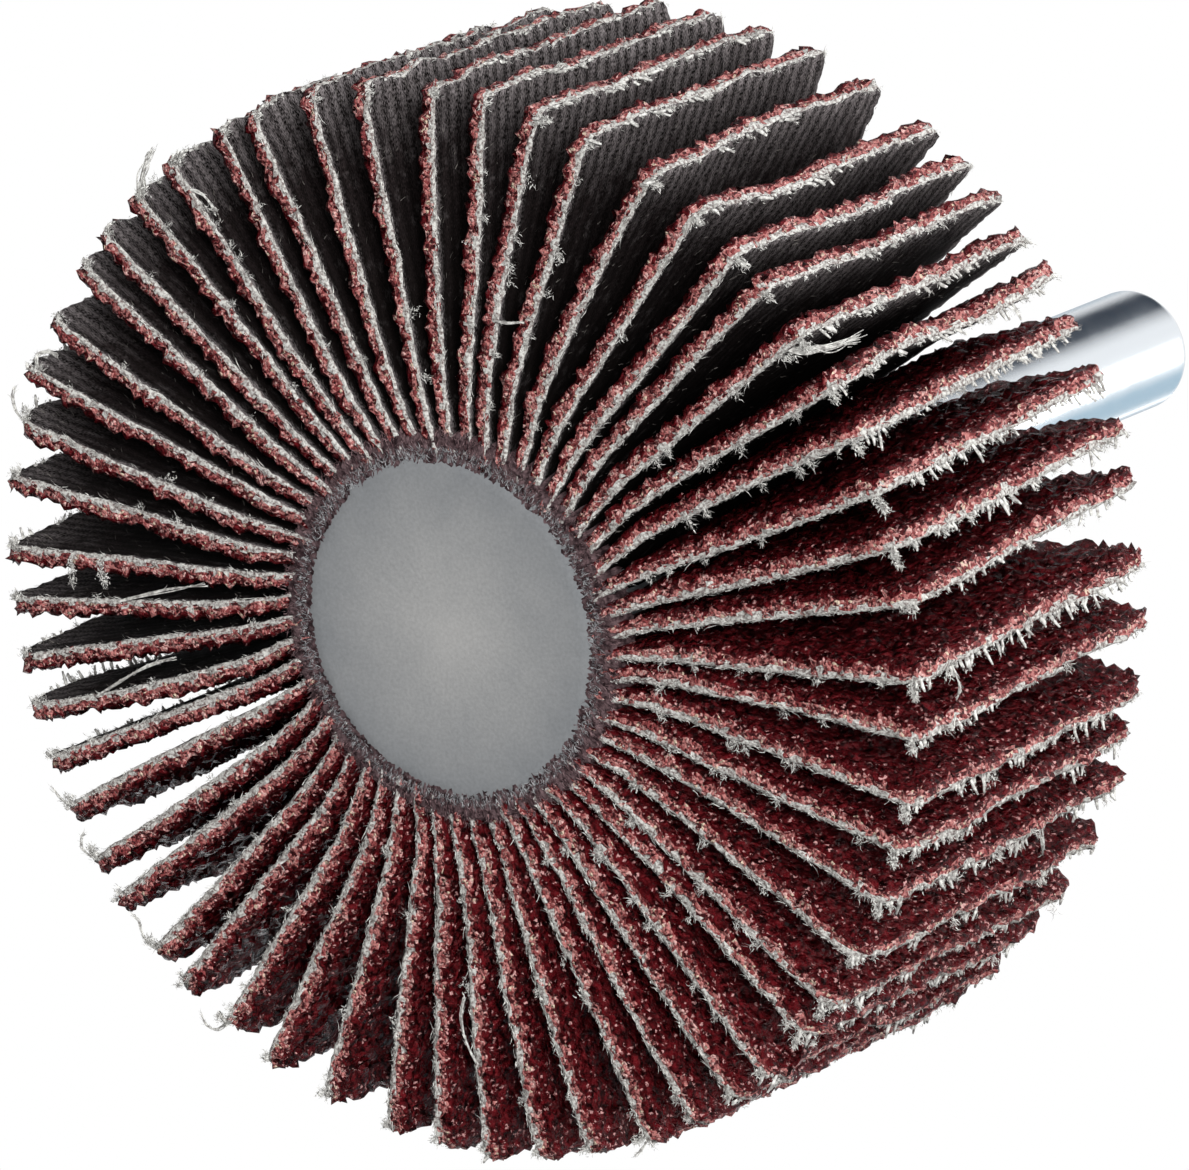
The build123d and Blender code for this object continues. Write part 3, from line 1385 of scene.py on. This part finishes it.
@dataclass
class FlapFan:
    """All the flaps, packed round the core.

    Attributes:
        core_radius: The core's radius.
        tip_radius: The radius of the free ends.
        width: The wheel's width.
        count: How many flaps there are.
        seed: The start of their random numbers.
        lean_edges: The flaps whose front edges have less cotton.
        twisted: How far some flaps are twisted, in degrees, by number.
        hollowed: How far some flaps are hollowed, in millimetres, by number.
        frayed: How much long fray some flaps have, from 0 to 1, by number.
        clumps: How big the clump at the front corner of some flaps is, by number.
        tufts: The tufts that are listed one by one.
        threads: The threads that are listed one by one.
    """

    core_radius: float = 8.2
    tip_radius: float = 25.0
    width: float = 20.0
    count: int = 56
    seed: int = 4100
    lean_edges: range = range(24, 47)
    twisted: dict[int, float] = field(default_factory=lambda: {
        51: 0.8, 52: 1.5, 53: 1.9, 54: 2.0, 55: 2.1, 56: 2.3, 1: 2.1, 2: 2.0, 3: 1.9, 4: 1.8, 5: 1.7, 6: 1.6,
        7: 0.8})
    hollowed: dict[int, float] = field(default_factory=lambda: {
        50: 0.2, 51: 0.6, 52: 1.2, 53: 1.7, 54: 1.6, 55: 1.2, 56: 0.8, 1: 0.7, 2: 0.3})
    frayed: dict[int, float] = field(default_factory=lambda: {
        1: 1.0, 2: 0.6, 3: 1.0, 4: 0.8, 5: 1.0, 6: 0.9, 7: 1.0, 8: 0.9, 9: 0.9, 10: 0.7, 20: 0.5, 22: 0.5,
        24: 0.5, 27: 0.6, 31: 0.5, 33: 0.5, 37: 0.6, 38: 0.7, 45: 0.8, 46: 0.5, 51: 0.8, 52: 0.8, 53: 1.0,
        54: 0.7, 55: 1.0, 56: 0.6})
    clumps: dict[int, float] = field(default_factory=lambda: {
        54: 1.2, 55: 1.1, 53: 0.8, 52: 0.6, 51: 0.9, 50: 0.5, 49: 0.8, 48: 0.5, 47: 0.8, 45: 0.9, 1: 1.0,
        2: 0.8, 3: 1.1, 4: 0.9, 5: 0.9, 6: 0.5, 7: 1.0, 8: 1.1, 12: 0.9, 20: 0.7, 22: 0.8, 24: 0.8, 25: 0.6,
        30: 0.5, 32: 0.9, 37: 0.6, 38: 0.6})
    tufts: tuple[Tuft, ...] = (
        Tuft(30, 21.4, (-0.1, -1.5, 0.0), 170),
        Tuft(30, 19.8, (-0.5, -1.3, 0.0), 160),
        Tuft(32, 17.0, (-0.9, 0.5, 0.0), 50),
        Tuft(17, 20.2, (-0.7, 0.4, 0.0), 70),
        Tuft(15, 17.6, (-0.8, 0.6, 0.0), 60),
        Tuft(12, 18.4, (-0.8, 0.4, 0.0), 70),
        Tuft(12, 15.6, (0.7, 0.5, 0.0), 50),
        Tuft(9, 12.4, (0.4, 0.5, -0.05), 60),
        Tuft(44, 18.2, (0.1, -0.7, -0.05), 40),
        Tuft(42, 14.2, (0.6, 0.5, 0.0), 40),
        Tuft(42, 11.8, (-0.5, 0.7, 0.0), 60),
        Tuft(45, 22.3, (-0.7, 0.4, 0.0), 40),
        Tuft(45, 17.6, (-0.9, 0.3, 0.0), 40),
        Tuft(46, 19.6, (-0.8, 0.4, 0.0), 60),
        Tuft(38, 22.6, (-0.9, 0.6, 0.0), 60),
        Tuft(53, 14.6, (0.1, 0.7, 0.0), 30),
        Tuft(51, 23.6, (0.5, 0.7, 0.0), 80),
    )
    threads: tuple[StrayThread, ...] = (
        StrayThread(37, 24.9, 0.4, ((0.2, 0.4, 0.0), (0.4, 0.6, 0.0), (0.4, 0.7, 0.1), (0.1, 0.4, 0.0)), 0.38,
                    10),
        StrayThread(33, 24.9, 0.4, ((0.2, 0.4, 0.0), (0.0, 0.4, 0.1), (-0.4, 0.3, 0.1), (-0.5, 0.0, 0.0)), 0.28,
                    6),
        StrayThread(38, 23.4, 0.2, ((-0.3, 0.4, 0.0), (-0.5, 0.2, 0.0), (-0.6, 0.0, 0.0)), 0.18),
        StrayThread(32, 25.0, 0.4, ((0.5, 0.3, 0.0), (0.4, 0.5, 0.1), (0.0, 0.4, 0.1)), 0.16),
        StrayThread(25, 25.0, 0.4, ((0.4, 0.5, 0.0), (0.2, 0.6, 0.0)), 0.16),
        StrayThread(24, 25.0, 0.4, ((0.3, 0.3, 0.0), (0.2, 0.5, 0.0), (-0.2, 0.4, 0.1), (-0.3, 0.1, 0.0)), 0.16),
        StrayThread(22, 25.0, 0.4, ((0.2, 0.4, 0.0), (0.0, 0.6, 0.1), (-0.3, 0.6, 0.1), (0.1, 0.4, 0.0)), 0.18),
        StrayThread(20, 24.9, 0.5, ((0.4, 0.2, 0.1), (0.5, 0.2, 0.1), (0.2, 0.6, 0.0), (-0.3, 0.5, 0.0)), 0.13),
        StrayThread(12, 25.0, 0.3, ((0.3, 0.4, 0.0), (0.2, 0.5, 0.0)), 0.16),
        StrayThread(45, 15.0, 0.1, ((0.1, 0.5, 0.1), (0.2, 0.6, 0.0), (0.2, 0.5, 0.1)), 0.15),
        StrayThread(15, 20.6, 0.1, ((-0.9, 0.5, 0.0), (-1.2, 0.2, 0.0), (-0.9, -0.2, 0.1)), 0.20),
        StrayThread(29, 18.8, 0.1, ((-1.6, 0.4, 0.0), (-1.8, 0.5, 0.0), (-1.8, 0.3, 0.1)), 0.18),
        StrayThread(27, 21.0, 0.1, ((-1.5, 0.5, 0.0), (-1.8, 0.5, 0.0), (-1.8, 0.1, 0.1)), 0.18),
        StrayThread(51, 23.8, 0.4, ((0.4, 0.5, 0.6), (0.3, 0.3, 1.6), (0.2, 0.2, 1.8)), 0.55, 16),
        StrayThread(9, 24.0, 1.6, ((0.1, 0.5, 0.2), (-0.1, 0.6, 0.3), (0.0, 0.5, 0.4)), 0.11),
        StrayThread(1, 25.1, 3.2, ((0.2, 0.5, 0.0), (0.1, 0.6, 0.2), (-0.3, 0.5, 0.1)), 0.12),
        StrayThread(5, 25.0, 13.4, ((0.2, 0.5, 0.1), (0.1, 0.7, 0.3), (0.0, 0.6, 0.4)), 0.20),
    )

    def build(self, nodes: dict[str, bpy.types.Object]) -> list[bpy.types.Object]:
        """Builds every flap over its CAD node.

        Args:
            nodes: The CAD nodes by name.

        Returns:
            The flaps.
        """
        materials = [
            GrainFinish().material(self.width, self.tip_radius),
            CutGrainFinish().material(),
            CutClothFinish().material(),
            ClothFinish().material(self.width, self.tip_radius),
            FibreFinish("loose_fibre", (0.25, 0.24, 0.23), (0.71, 0.71, 0.68)).material(),
            FibreFinish("cloth_nap", (0.03, 0.026, 0.024), (0.14, 0.13, 0.12)).material(),
        ]
        flaps = []
        for number in range(1, self.count + 1):
            name = f"flap_{number:02d}"
            rng = np.random.default_rng(self.seed + number)
            shape = self.shape(nodes[name], number, rng)
            fray = 0.15 + 0.3 * rng.random()
            fluff = 0.55 if number in self.lean_edges else 1.0
            stock = FlapBuilder(shape, rng).build(self.frayed.get(number, fray), fluff)
            for loose in (*self.threads, *self.tufts, self.clump(number)):
                if loose.flap == number:
                    loose.grow(stock, shape, rng)
            piece = stock.make(f"abrasive_{name}", materials)
            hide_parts(name)
            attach(piece, "root")
            flaps.append(piece)
        return flaps

    def shape(self, node: bpy.types.Object, number: int, rng: Random) -> FlapShape:
        """Gives a flap its sway.

        Args:
            node: The flap's CAD node.
            number: Its number.
            rng: Its random numbers.

        Returns:
            The flap's shape.
        """
        return FlapShape(
            node=node,
            twist=self.twisted.get(number, 0.0) + rng.normal(0, 0.25),
            hollow=self.hollowed.get(number, 0.0),
            bow=rng.normal(0, 0.12),
            ripple=rng.normal(0, 0.10),
            phase=rng.uniform(0, 6.28),
            core=self.core_radius,
            tip=self.tip_radius,
            width=self.width,
        )

    def clump(self, number: int) -> Tuft:
        """The clump of cloth fibre at a flap's front corner, which hangs to its cloth side."""
        size = self.clumps.get(number, 0.25)
        return Tuft(number, self.tip_radius - 0.25, (0.25 * size, 0.85 * size, 0.0), int(50 + 160 * size))


@dataclass
class Revolved:
    """A turned shape: rings of points round the axis.

    Attributes:
        turns: How many points a ring has.
    """

    turns: int

    def rings(self, stock: MeshStock, points: np.ndarray, slot: int, smooth: bool = True) -> np.ndarray:
        """Adds rings of points and the faces between them.

        Args:
            stock: The piece that they join.
            points: The rings, m by turns by 3.
            slot: Their material slot.
            smooth: Whether they are shaded smooth.

        Returns:
            The points' numbers, m by turns.
        """
        numbers = stock.add_points(points) + np.arange(points.size // 3).reshape(points.shape[:2])
        stock.add_tubes(numbers, slot, smooth)
        return numbers

    def swept(self, radii: np.ndarray, levels: np.ndarray) -> np.ndarray:
        """Sweeps radii and levels round the axis.

        Args:
            radii: The rings' radii, one for each ring or for each of its points.
            levels: Their heights, likewise.

        Returns:
            The rings' points, m by turns by 3.
        """
        angles = np.linspace(0, 2 * math.pi, self.turns, endpoint=False)
        radii, levels = (
            np.broadcast_to(each if each.ndim == 2 else each[:, None], (len(each), self.turns))
            for each in (radii, levels)
        )
        return np.stack((radii * np.cos(angles), radii * np.sin(angles), levels), axis=-1)


@dataclass
class ResinCore:
    """The cast core: two smooth faces, a ragged rim, and a soaked collar over the flap roots.

    Attributes:
        radius: The core's radius.
        width: The wheel's width.
        bore: The radius of the shank.
        collar_inset: How far inside the core's radius the collar starts.
        collar_reach: The radius at which it ends.
        face_gap: How far the front face stands above the floor.
        rim_inset: How far inside the core's radius the smooth faces end.
        turns: How many points a ring of the faces has.
        collar_turns: How many points a ring of the collar has.
        collar_rings: How many rings the collar has.
        fibres: For each kind of fibre, how many there are, between which radii they grow, measured from the
            core's, and their finish.
        seed: The start of the core's random numbers.
    """

    radius: float = 8.2
    width: float = 20.0
    bore: float = 3.0
    collar_inset: float = 0.55
    collar_reach: float = 9.35
    face_gap: float = 0.02
    rim_inset: float = 0.18
    turns: int = 256
    collar_turns: int = 448
    collar_rings: int = 9
    fibres: tuple[tuple[int, float, float, Ring], ...] = (
        (4400, -0.42, 0.15, Ring.RIM_FIBRE),
        (4200, -0.15, 1.05, Ring.SOAKED_FIBRE),
    )
    seed: int = 77

    def build(self) -> bpy.types.Object:
        """Builds the core over its CAD node.

        Returns:
            The core.
        """
        rng = np.random.default_rng(self.seed)
        stock = MeshStock()
        numbers = Revolved(self.turns).rings(stock, self.body(rng), Ring.RESIN)
        centre = stock.add_points(np.array([[0.0, 0.0, self.face_gap]]))
        middle = (np.roll(numbers[0], -1), numbers[0], np.full(self.turns, centre))
        stock.add_faces(np.stack(middle, axis=-1), Ring.RESIN)
        for level, up in ((0.0, 1.0), (self.width, -1.0)):
            self.collar(stock, rng, level, up)
            self.collar_fibres(stock, rng, level, up)
        made = stock.make("cast_resin_core", [
            ResinFinish().material(self.radius),
            SoakedFinish().material(),
            FibreFinish("rim_fibre", (0.13, 0.13, 0.14), (0.34, 0.345, 0.355)).material(),
            FibreFinish("soaked_strand", (0.06, 0.030, 0.034), (0.23, 0.155, 0.163)).material(),
        ])
        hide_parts("resin_core")
        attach(made, "root")
        return made

    def body(self, rng: Random) -> np.ndarray:
        """The rings of the front face, the wall, the back face and the meniscus where it climbs the shank.

        Args:
            rng: The core's random numbers.

        Returns:
            The rings' points, m by turns by 3.
        """
        lathe = Revolved(self.turns)
        ragged = self.closed_wander(rng, 96, 0.05) + self.closed_wander(rng, 20, 0.06)
        rim = self.radius - self.rim_inset + ragged
        shares = np.concatenate((np.linspace(0.04, 0.9, 14), np.linspace(0.92, 1.0, 5)))[:, None]
        radii = shares * rim
        levels = self.face_gap + 0.012 * rng.random(radii.shape) * (shares > 0.3)
        levels += 0.13 * self.rounded(shares)
        back_shares = np.concatenate((np.linspace(1.0, 0.9, 4), np.linspace(0.85, 0.45, 8)))[:, None]
        climb = np.array([0.5, 0.2, 0.06, -0.05]), np.array([0.02, 0.07, 0.22, 0.42])
        return np.concatenate((
            lathe.swept(radii, levels),
            lathe.swept(np.full(4, self.radius - 0.05), np.array([0.9, 6.0, 14.0, self.width - 0.9])),
            lathe.swept(back_shares * rim, self.width - 0.10 * self.rounded(back_shares)),
            lathe.swept(self.bore + climb[0], self.width + climb[1]),
        ))

    @staticmethod
    def rounded(shares: np.ndarray) -> np.ndarray:
        """How far a face falls away near its rim, from 0 up to 1 at the rim."""
        return np.clip((shares - 0.9) / 0.1, 0, 1) ** 2

    def closed_wander(self, rng: Random, knots: int, size: float) -> np.ndarray:
        """A jagged line of random heights that closes on itself round the core.

        Args:
            rng: The core's random numbers.
            knots: How many corners it has.
            size: How high it goes.

        Returns:
            The height at each point of a ring.
        """
        heights = rng.normal(0.0, size, knots)
        places = np.linspace(0, knots, self.turns, endpoint=False)
        return np.interp(places, np.arange(knots + 1), np.append(heights, heights[0]))

    def collar(self, stock: MeshStock, rng: Random, level: float, up: float) -> None:
        """Adds the soaked collar of one face.

        Args:
            stock: The core's points and faces.
            rng: The core's random numbers.
            level: The face's height.
            up: 1 where the collar sinks upwards from the face, -1 where it sinks downwards.
        """
        lathe = Revolved(self.collar_turns)
        size = (self.collar_rings, self.collar_turns)
        shares = np.linspace(0, 1, self.collar_rings)
        start = self.radius - self.collar_inset
        radii = (start + shares * (self.collar_reach - self.radius + self.collar_inset))[:, None]
        radii = radii + rng.normal(0, 0.05, size)
        depth = 0.05 + 0.05 * shares[:, None] + rng.gamma(1.4, 0.05, size) * (0.4 + shares[:, None])
        depth += 0.35 * np.clip((shares[:, None] - 0.65) / 0.35, 0, 1) ** 2
        depth[-1] += 0.8
        points = lathe.swept(radii, level + up * depth)
        lathe.rings(stock, points if up > 0 else points[:, ::-1], Ring.SOAKED, smooth=False)

    def collar_fibres(self, stock: MeshStock, rng: Random, level: float, up: float) -> None:
        """Grows the fibres of one face's collar, fewer on the back.

        Args:
            stock: The core's points and faces.
            rng: The core's random numbers.
            level: The face's height.
            up: 1 on the front face, -1 on the back face.
        """
        for full, start, end, slot in self.fibres:
            count = full if up > 0 else full // 3
            angle = rng.uniform(0, 2 * math.pi, count)
            radius = self.radius + rng.uniform(start, end, count)
            outward = np.stack((np.cos(angle), np.sin(angle), np.zeros(count)), axis=-1)
            around = np.stack((-np.sin(angle), np.cos(angle), np.zeros(count)), axis=-1)
            roots = outward * radius[:, None]
            sunk = rng.uniform(0.02, 0.16, count) + 0.12 * np.clip(radius - self.radius, 0, 1)
            roots[:, 2] = level + up * sunk
            ways = outward * rng.normal(0.8, 0.6, (count, 1)) + around * rng.normal(0, 0.45, (count, 1))
            ways[:, 2] += up * rng.normal(0.0, 0.15, count)
            Fuzz(width=0.034, curl=0.9).grow(stock, rng, roots, ways, rng.uniform(0.12, 0.42, count), slot)


@dataclass
class Shank:
    """The steel pin, with a rounded free end and a stouter end inside the core.

    Attributes:
        radius: The pin's radius.
        seat_radius: The radius of the stouter end.
        start: How high it starts, inside the core.
        seat_end: How high the stouter end goes.
        end: How high the pin goes.
        rounding: The radius of the rounded edge on its free end.
        steps: How many rings the rounded edge has, and the plain length below it.
        turns: How many points a ring has.
    """

    radius: float = 3.0
    seat_radius: float = 3.25
    start: float = 3.0
    seat_end: float = 19.9
    end: float = 60.0
    rounding: float = 0.6
    steps: int = 12
    turns: int = 128

    def build(self) -> bpy.types.Object:
        """Builds the shank over its CAD node.

        Returns:
            The shank.
        """
        stock = MeshStock()
        bends = np.linspace(0, math.pi / 2, self.steps)
        radii = np.concatenate((
            [0.4, 2.7, self.seat_radius, self.seat_radius, self.radius],
            np.full(self.steps, self.radius),
            self.radius - self.rounding * (1 - np.cos(bends)),
            [1.2, 0.35],
        ))
        levels = np.concatenate((
            [self.start, self.start, self.start + 0.5, self.seat_end - 0.2, self.seat_end],
            np.linspace(self.seat_end + 0.1, self.end - self.rounding - 0.2, self.steps),
            self.end - self.rounding * (1 - np.sin(bends)),
            [self.end, self.end],
        ))
        lathe = Revolved(self.turns)
        numbers = lathe.rings(stock, lathe.swept(radii, levels), 0)
        stock.add_faces(numbers[-1:], 0)
        stock.add_faces(numbers[:1, ::-1], 0)
        made = stock.make("steel_shank", [SteelFinish().material()])
        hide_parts("shank")
        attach(made, "root")
        return made


@dataclass(frozen=True)
class Lamp:
    """A soft square lamp, aimed at the wheel. Places and sizes are in metres."""

    name: str
    place: Triple
    size: float
    power: float
    colour: Colour

    def hang(self, target: Vector) -> None:
        """Puts the lamp in its place.

        Args:
            target: What it is turned to.
        """
        data = bpy.data.lights.new(self.name, "AREA")
        data.shape = "SQUARE"
        data.size = self.size
        data.energy = self.power
        data.color = self.colour
        made = put(self.name, data)
        made.location = self.place
        made.rotation_euler = (target - Vector(self.place)).to_track_quat("-Z", "Y").to_euler()
        made.visible_camera = False


def rectangle(name: str, size: tuple[float, float], material: bpy.types.Material) -> bpy.types.Object:
    """Puts a flat rectangle in the scene, with its middle on the origin.

    Args:
        name: Its name.
        size: Its two sides, in metres.
        material: Its material.

    Returns:
        The rectangle.
    """
    wide, high = (side / 2 for side in size)
    corners = [(-wide, -high, 0), (wide, -high, 0), (wide, high, 0), (-wide, high, 0)]
    mesh = bpy.data.meshes.new(name)
    mesh.from_pydata(corners, [], [(0, 1, 2, 3)])
    mesh.materials.append(material)
    return put(name, mesh)


@dataclass(frozen=True)
class Card:
    """A toned card, fading out to its rim, that only the polished steel mirrors.

    Attributes:
        name: The card's name.
        way: The way to it from its target.
        distance: How far off it stands, in metres.
        size: Its two sides, in metres.
        tone: Its colour.
        firmness: How far out its full tone goes.
    """

    name: str
    way: Triple
    distance: float
    size: tuple[float, float]
    tone: Colour
    firmness: float

    def stand(self, target: Vector) -> bpy.types.Object:
        """Puts the card in its place.

        Args:
            target: What it is turned to.

        Returns:
            The card.
        """
        material = bpy.data.materials.new(self.name)
        wiring = Wiring.blank(material)
        to_rim = tuple(2 / side for side in self.size)
        inputs = {"Vector": wiring.coordinates(), "Scale": (*to_rim, 1.0)}
        scaled = wiring.node("ShaderNodeMapping", inputs).outputs[0]
        fade = wiring.node("ShaderNodeTexGradient", {"Vector": scaled}, gradient_type="QUADRATIC_SPHERE")
        firm = wiring.math("MULTIPLY", fade.outputs["Fac"], self.firmness, clamp=True)
        wiring.show(firm, wiring.node("ShaderNodeEmission", {"Color": (*self.tone, 1.0)}).outputs[0])
        made = rectangle(self.name, self.size, material)
        way = Vector(self.way).normalized()
        made.location = target + way * self.distance
        made.rotation_euler = (-way).to_track_quat("Z", "Y").to_euler()
        for kind in ("camera", "diffuse", "transmission", "volume_scatter", "shadow"):
            setattr(made, f"visible_{kind}", False)
        return made


def grey_card(side: str, way: Triple) -> Card:
    """A broad soft grey card, for the views from the side."""
    return Card(f"grey_card_{side}", way, 0.9, (2.6, 2.0), (0.24, 0.27, 0.31), 2.0)


@dataclass
class Studio:
    """The floor, the plain world, the lamps and the mirrored cards. Lengths are in metres.

    Attributes:
        floor_side: The floor's side.
        floor_tone: How bright it is.
        fade_start: How far out it starts to fade into the white.
        fade_end: How far out it is gone.
        world_level: The strength of the light from all round.
        lamp_target: What the lamps are turned to, low in the wheel.
        card_target: What the cards are turned to, half way up the shank.
        lamps: The lamps.
        cards: The cards.
    """

    floor_side: float = 6.0
    floor_tone: float = 0.86
    fade_start: float = 0.10
    fade_end: float = 0.42
    world_level: float = 0.19
    lamp_target: Triple = (0.0, 0.0, 0.012)
    card_target: Triple = (0.0, 0.0, 0.045)
    lamps: tuple[Lamp, ...] = (
        Lamp("key_lamp", (0.72, -0.30, -0.66), 0.50, 16.0, (1.0, 0.99, 0.98)),
        Lamp("side_lamp", (0.68, 0.22, 0.65), 0.45, 6.0, (1.0, 0.99, 0.98)),
        Lamp("upper_lamp", (0.33, -0.73, 0.41), 0.6, 3.2, (0.97, 0.985, 1.0)),
        Lamp("back_lamp", (-0.70, 0.35, 0.80), 0.8, 5.0, (0.98, 0.99, 1.0)),
    )
    cards: tuple[Card, ...] = (
        Card("slate_card", (-0.09, -0.57, 0.81), 0.9, (1.5, 0.92), (0.022, 0.032, 0.050), 1.9),
        Card("pale_blue_card", (0.10, 0.60, 0.80), 0.9, (1.4, 0.80), (0.47, 0.62, 0.72), 1.8),
        Card("rim_card", (-0.573, 0.187, 0.798), 1.0, (1.3, 1.3), (0.52, 0.58, 0.63), 4.0),
        grey_card("far", (0.342, 0.940, 0.0)),
        grey_card("left", (-0.985, -0.174, 0.0)),
        grey_card("near", (0.643, -0.766, 0.0)),
    )

    def build(self) -> None:
        """Sets up the studio."""
        for lamp in self.lamps:
            lamp.hang(Vector(self.lamp_target))
        stage = [card.stand(Vector(self.card_target)) for card in self.cards]
        self.floor()
        self.world()
        bpy.context.scene.view_settings.view_transform = "Standard"

    def floor(self) -> bpy.types.Object:
        """Lays a pale floor that fades into the white all round, and shows from above only.

        The photograph looks at the wheel from below it.

        Returns:
            The floor.
        """
        material = bpy.data.materials.new("pale_floor")
        wiring = Wiring.blank(material)
        below = wiring.node("ShaderNodeNewGeometry").outputs["Backfacing"]
        above = wiring.math("SUBTRACT", wiring.seen_directly(), below, clamp=True)
        away = wiring.node("ShaderNodeVectorMath", {0: wiring.coordinates()}, operation="LENGTH")
        near = wiring.span(away.outputs["Value"], self.fade_start, self.fade_end, 1.0, 0.0, eased=True)
        pale = wiring.node("ShaderNodeBsdfDiffuse", {"Color": (*(self.floor_tone,) * 3, 1.0)})
        wiring.show(wiring.math("MULTIPLY", above, near), pale.outputs[0])
        return rectangle("floor", (self.floor_side, self.floor_side), material)

    def world(self) -> None:
        """Makes the world white where it is seen, and a plain soft light elsewhere."""
        world = bpy.data.worlds.new("plain_world")
        bpy.context.scene.world = world
        wiring = Wiring.blank(world)
        white = (1.0, 1.0, 1.0, 1.0)
        soft, bright = (
            wiring.node("ShaderNodeBackground", {"Color": white, "Strength": strength}).outputs[0]
            for strength in (self.world_level, 1.0)
        )
        wiring.blend(wiring.seen_directly(), soft, bright, "ShaderNodeOutputWorld")


@dataclass(frozen=True)
class PhotoCamera:
    """The camera at the photograph's angle. Its place is in metres, its lens and sensor in millimetres."""

    place: Triple = (0.32179, -0.10401, -0.43590)
    right: Triple = (0.81925, 0.13065, 0.55835)
    up: Triple = (0.0, -0.97370, 0.22784)
    forward: Triple = (-0.57343, 0.18666, 0.79770)
    lens: float = 367.4
    sensor: float = 36.0
    nearest: float = 0.01

    def stand(self) -> None:
        """Makes the camera and has the scene use it."""
        data = bpy.data.cameras.new("photo_camera")
        data.lens = self.lens
        data.sensor_width = self.sensor
        data.clip_start = self.nearest
        made = put("photo_camera", data)
        backward = tuple(-part for part in self.forward)
        turn = Matrix((self.right, self.up, backward)).transposed()
        made.matrix_world = Matrix.Translation(self.place) @ turn.to_4x4()
        bpy.context.scene.camera = made


def main() -> None:
    """Dresses the wheel and sets up its studio."""
    logging.basicConfig(level=logging.INFO, format="%(message)s")
    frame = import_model()
    PhotoCamera().stand()
    flaps = FlapFan().build(frame["nodes"])
    core = ResinCore().build()
    shank = Shank().build()
    triangles = 0
    for piece in (*flaps, core, shank):
        piece.data.calc_loop_triangles()
        triangles += len(piece.data.loop_triangles)
        log.info("%s: %d triangles", piece.name, len(piece.data.loop_triangles))
    log.info("triangles in all: %d", triangles)
    Studio().build()
    bpy.context.view_layer.update()


if __name__ == "__main__":
    main()
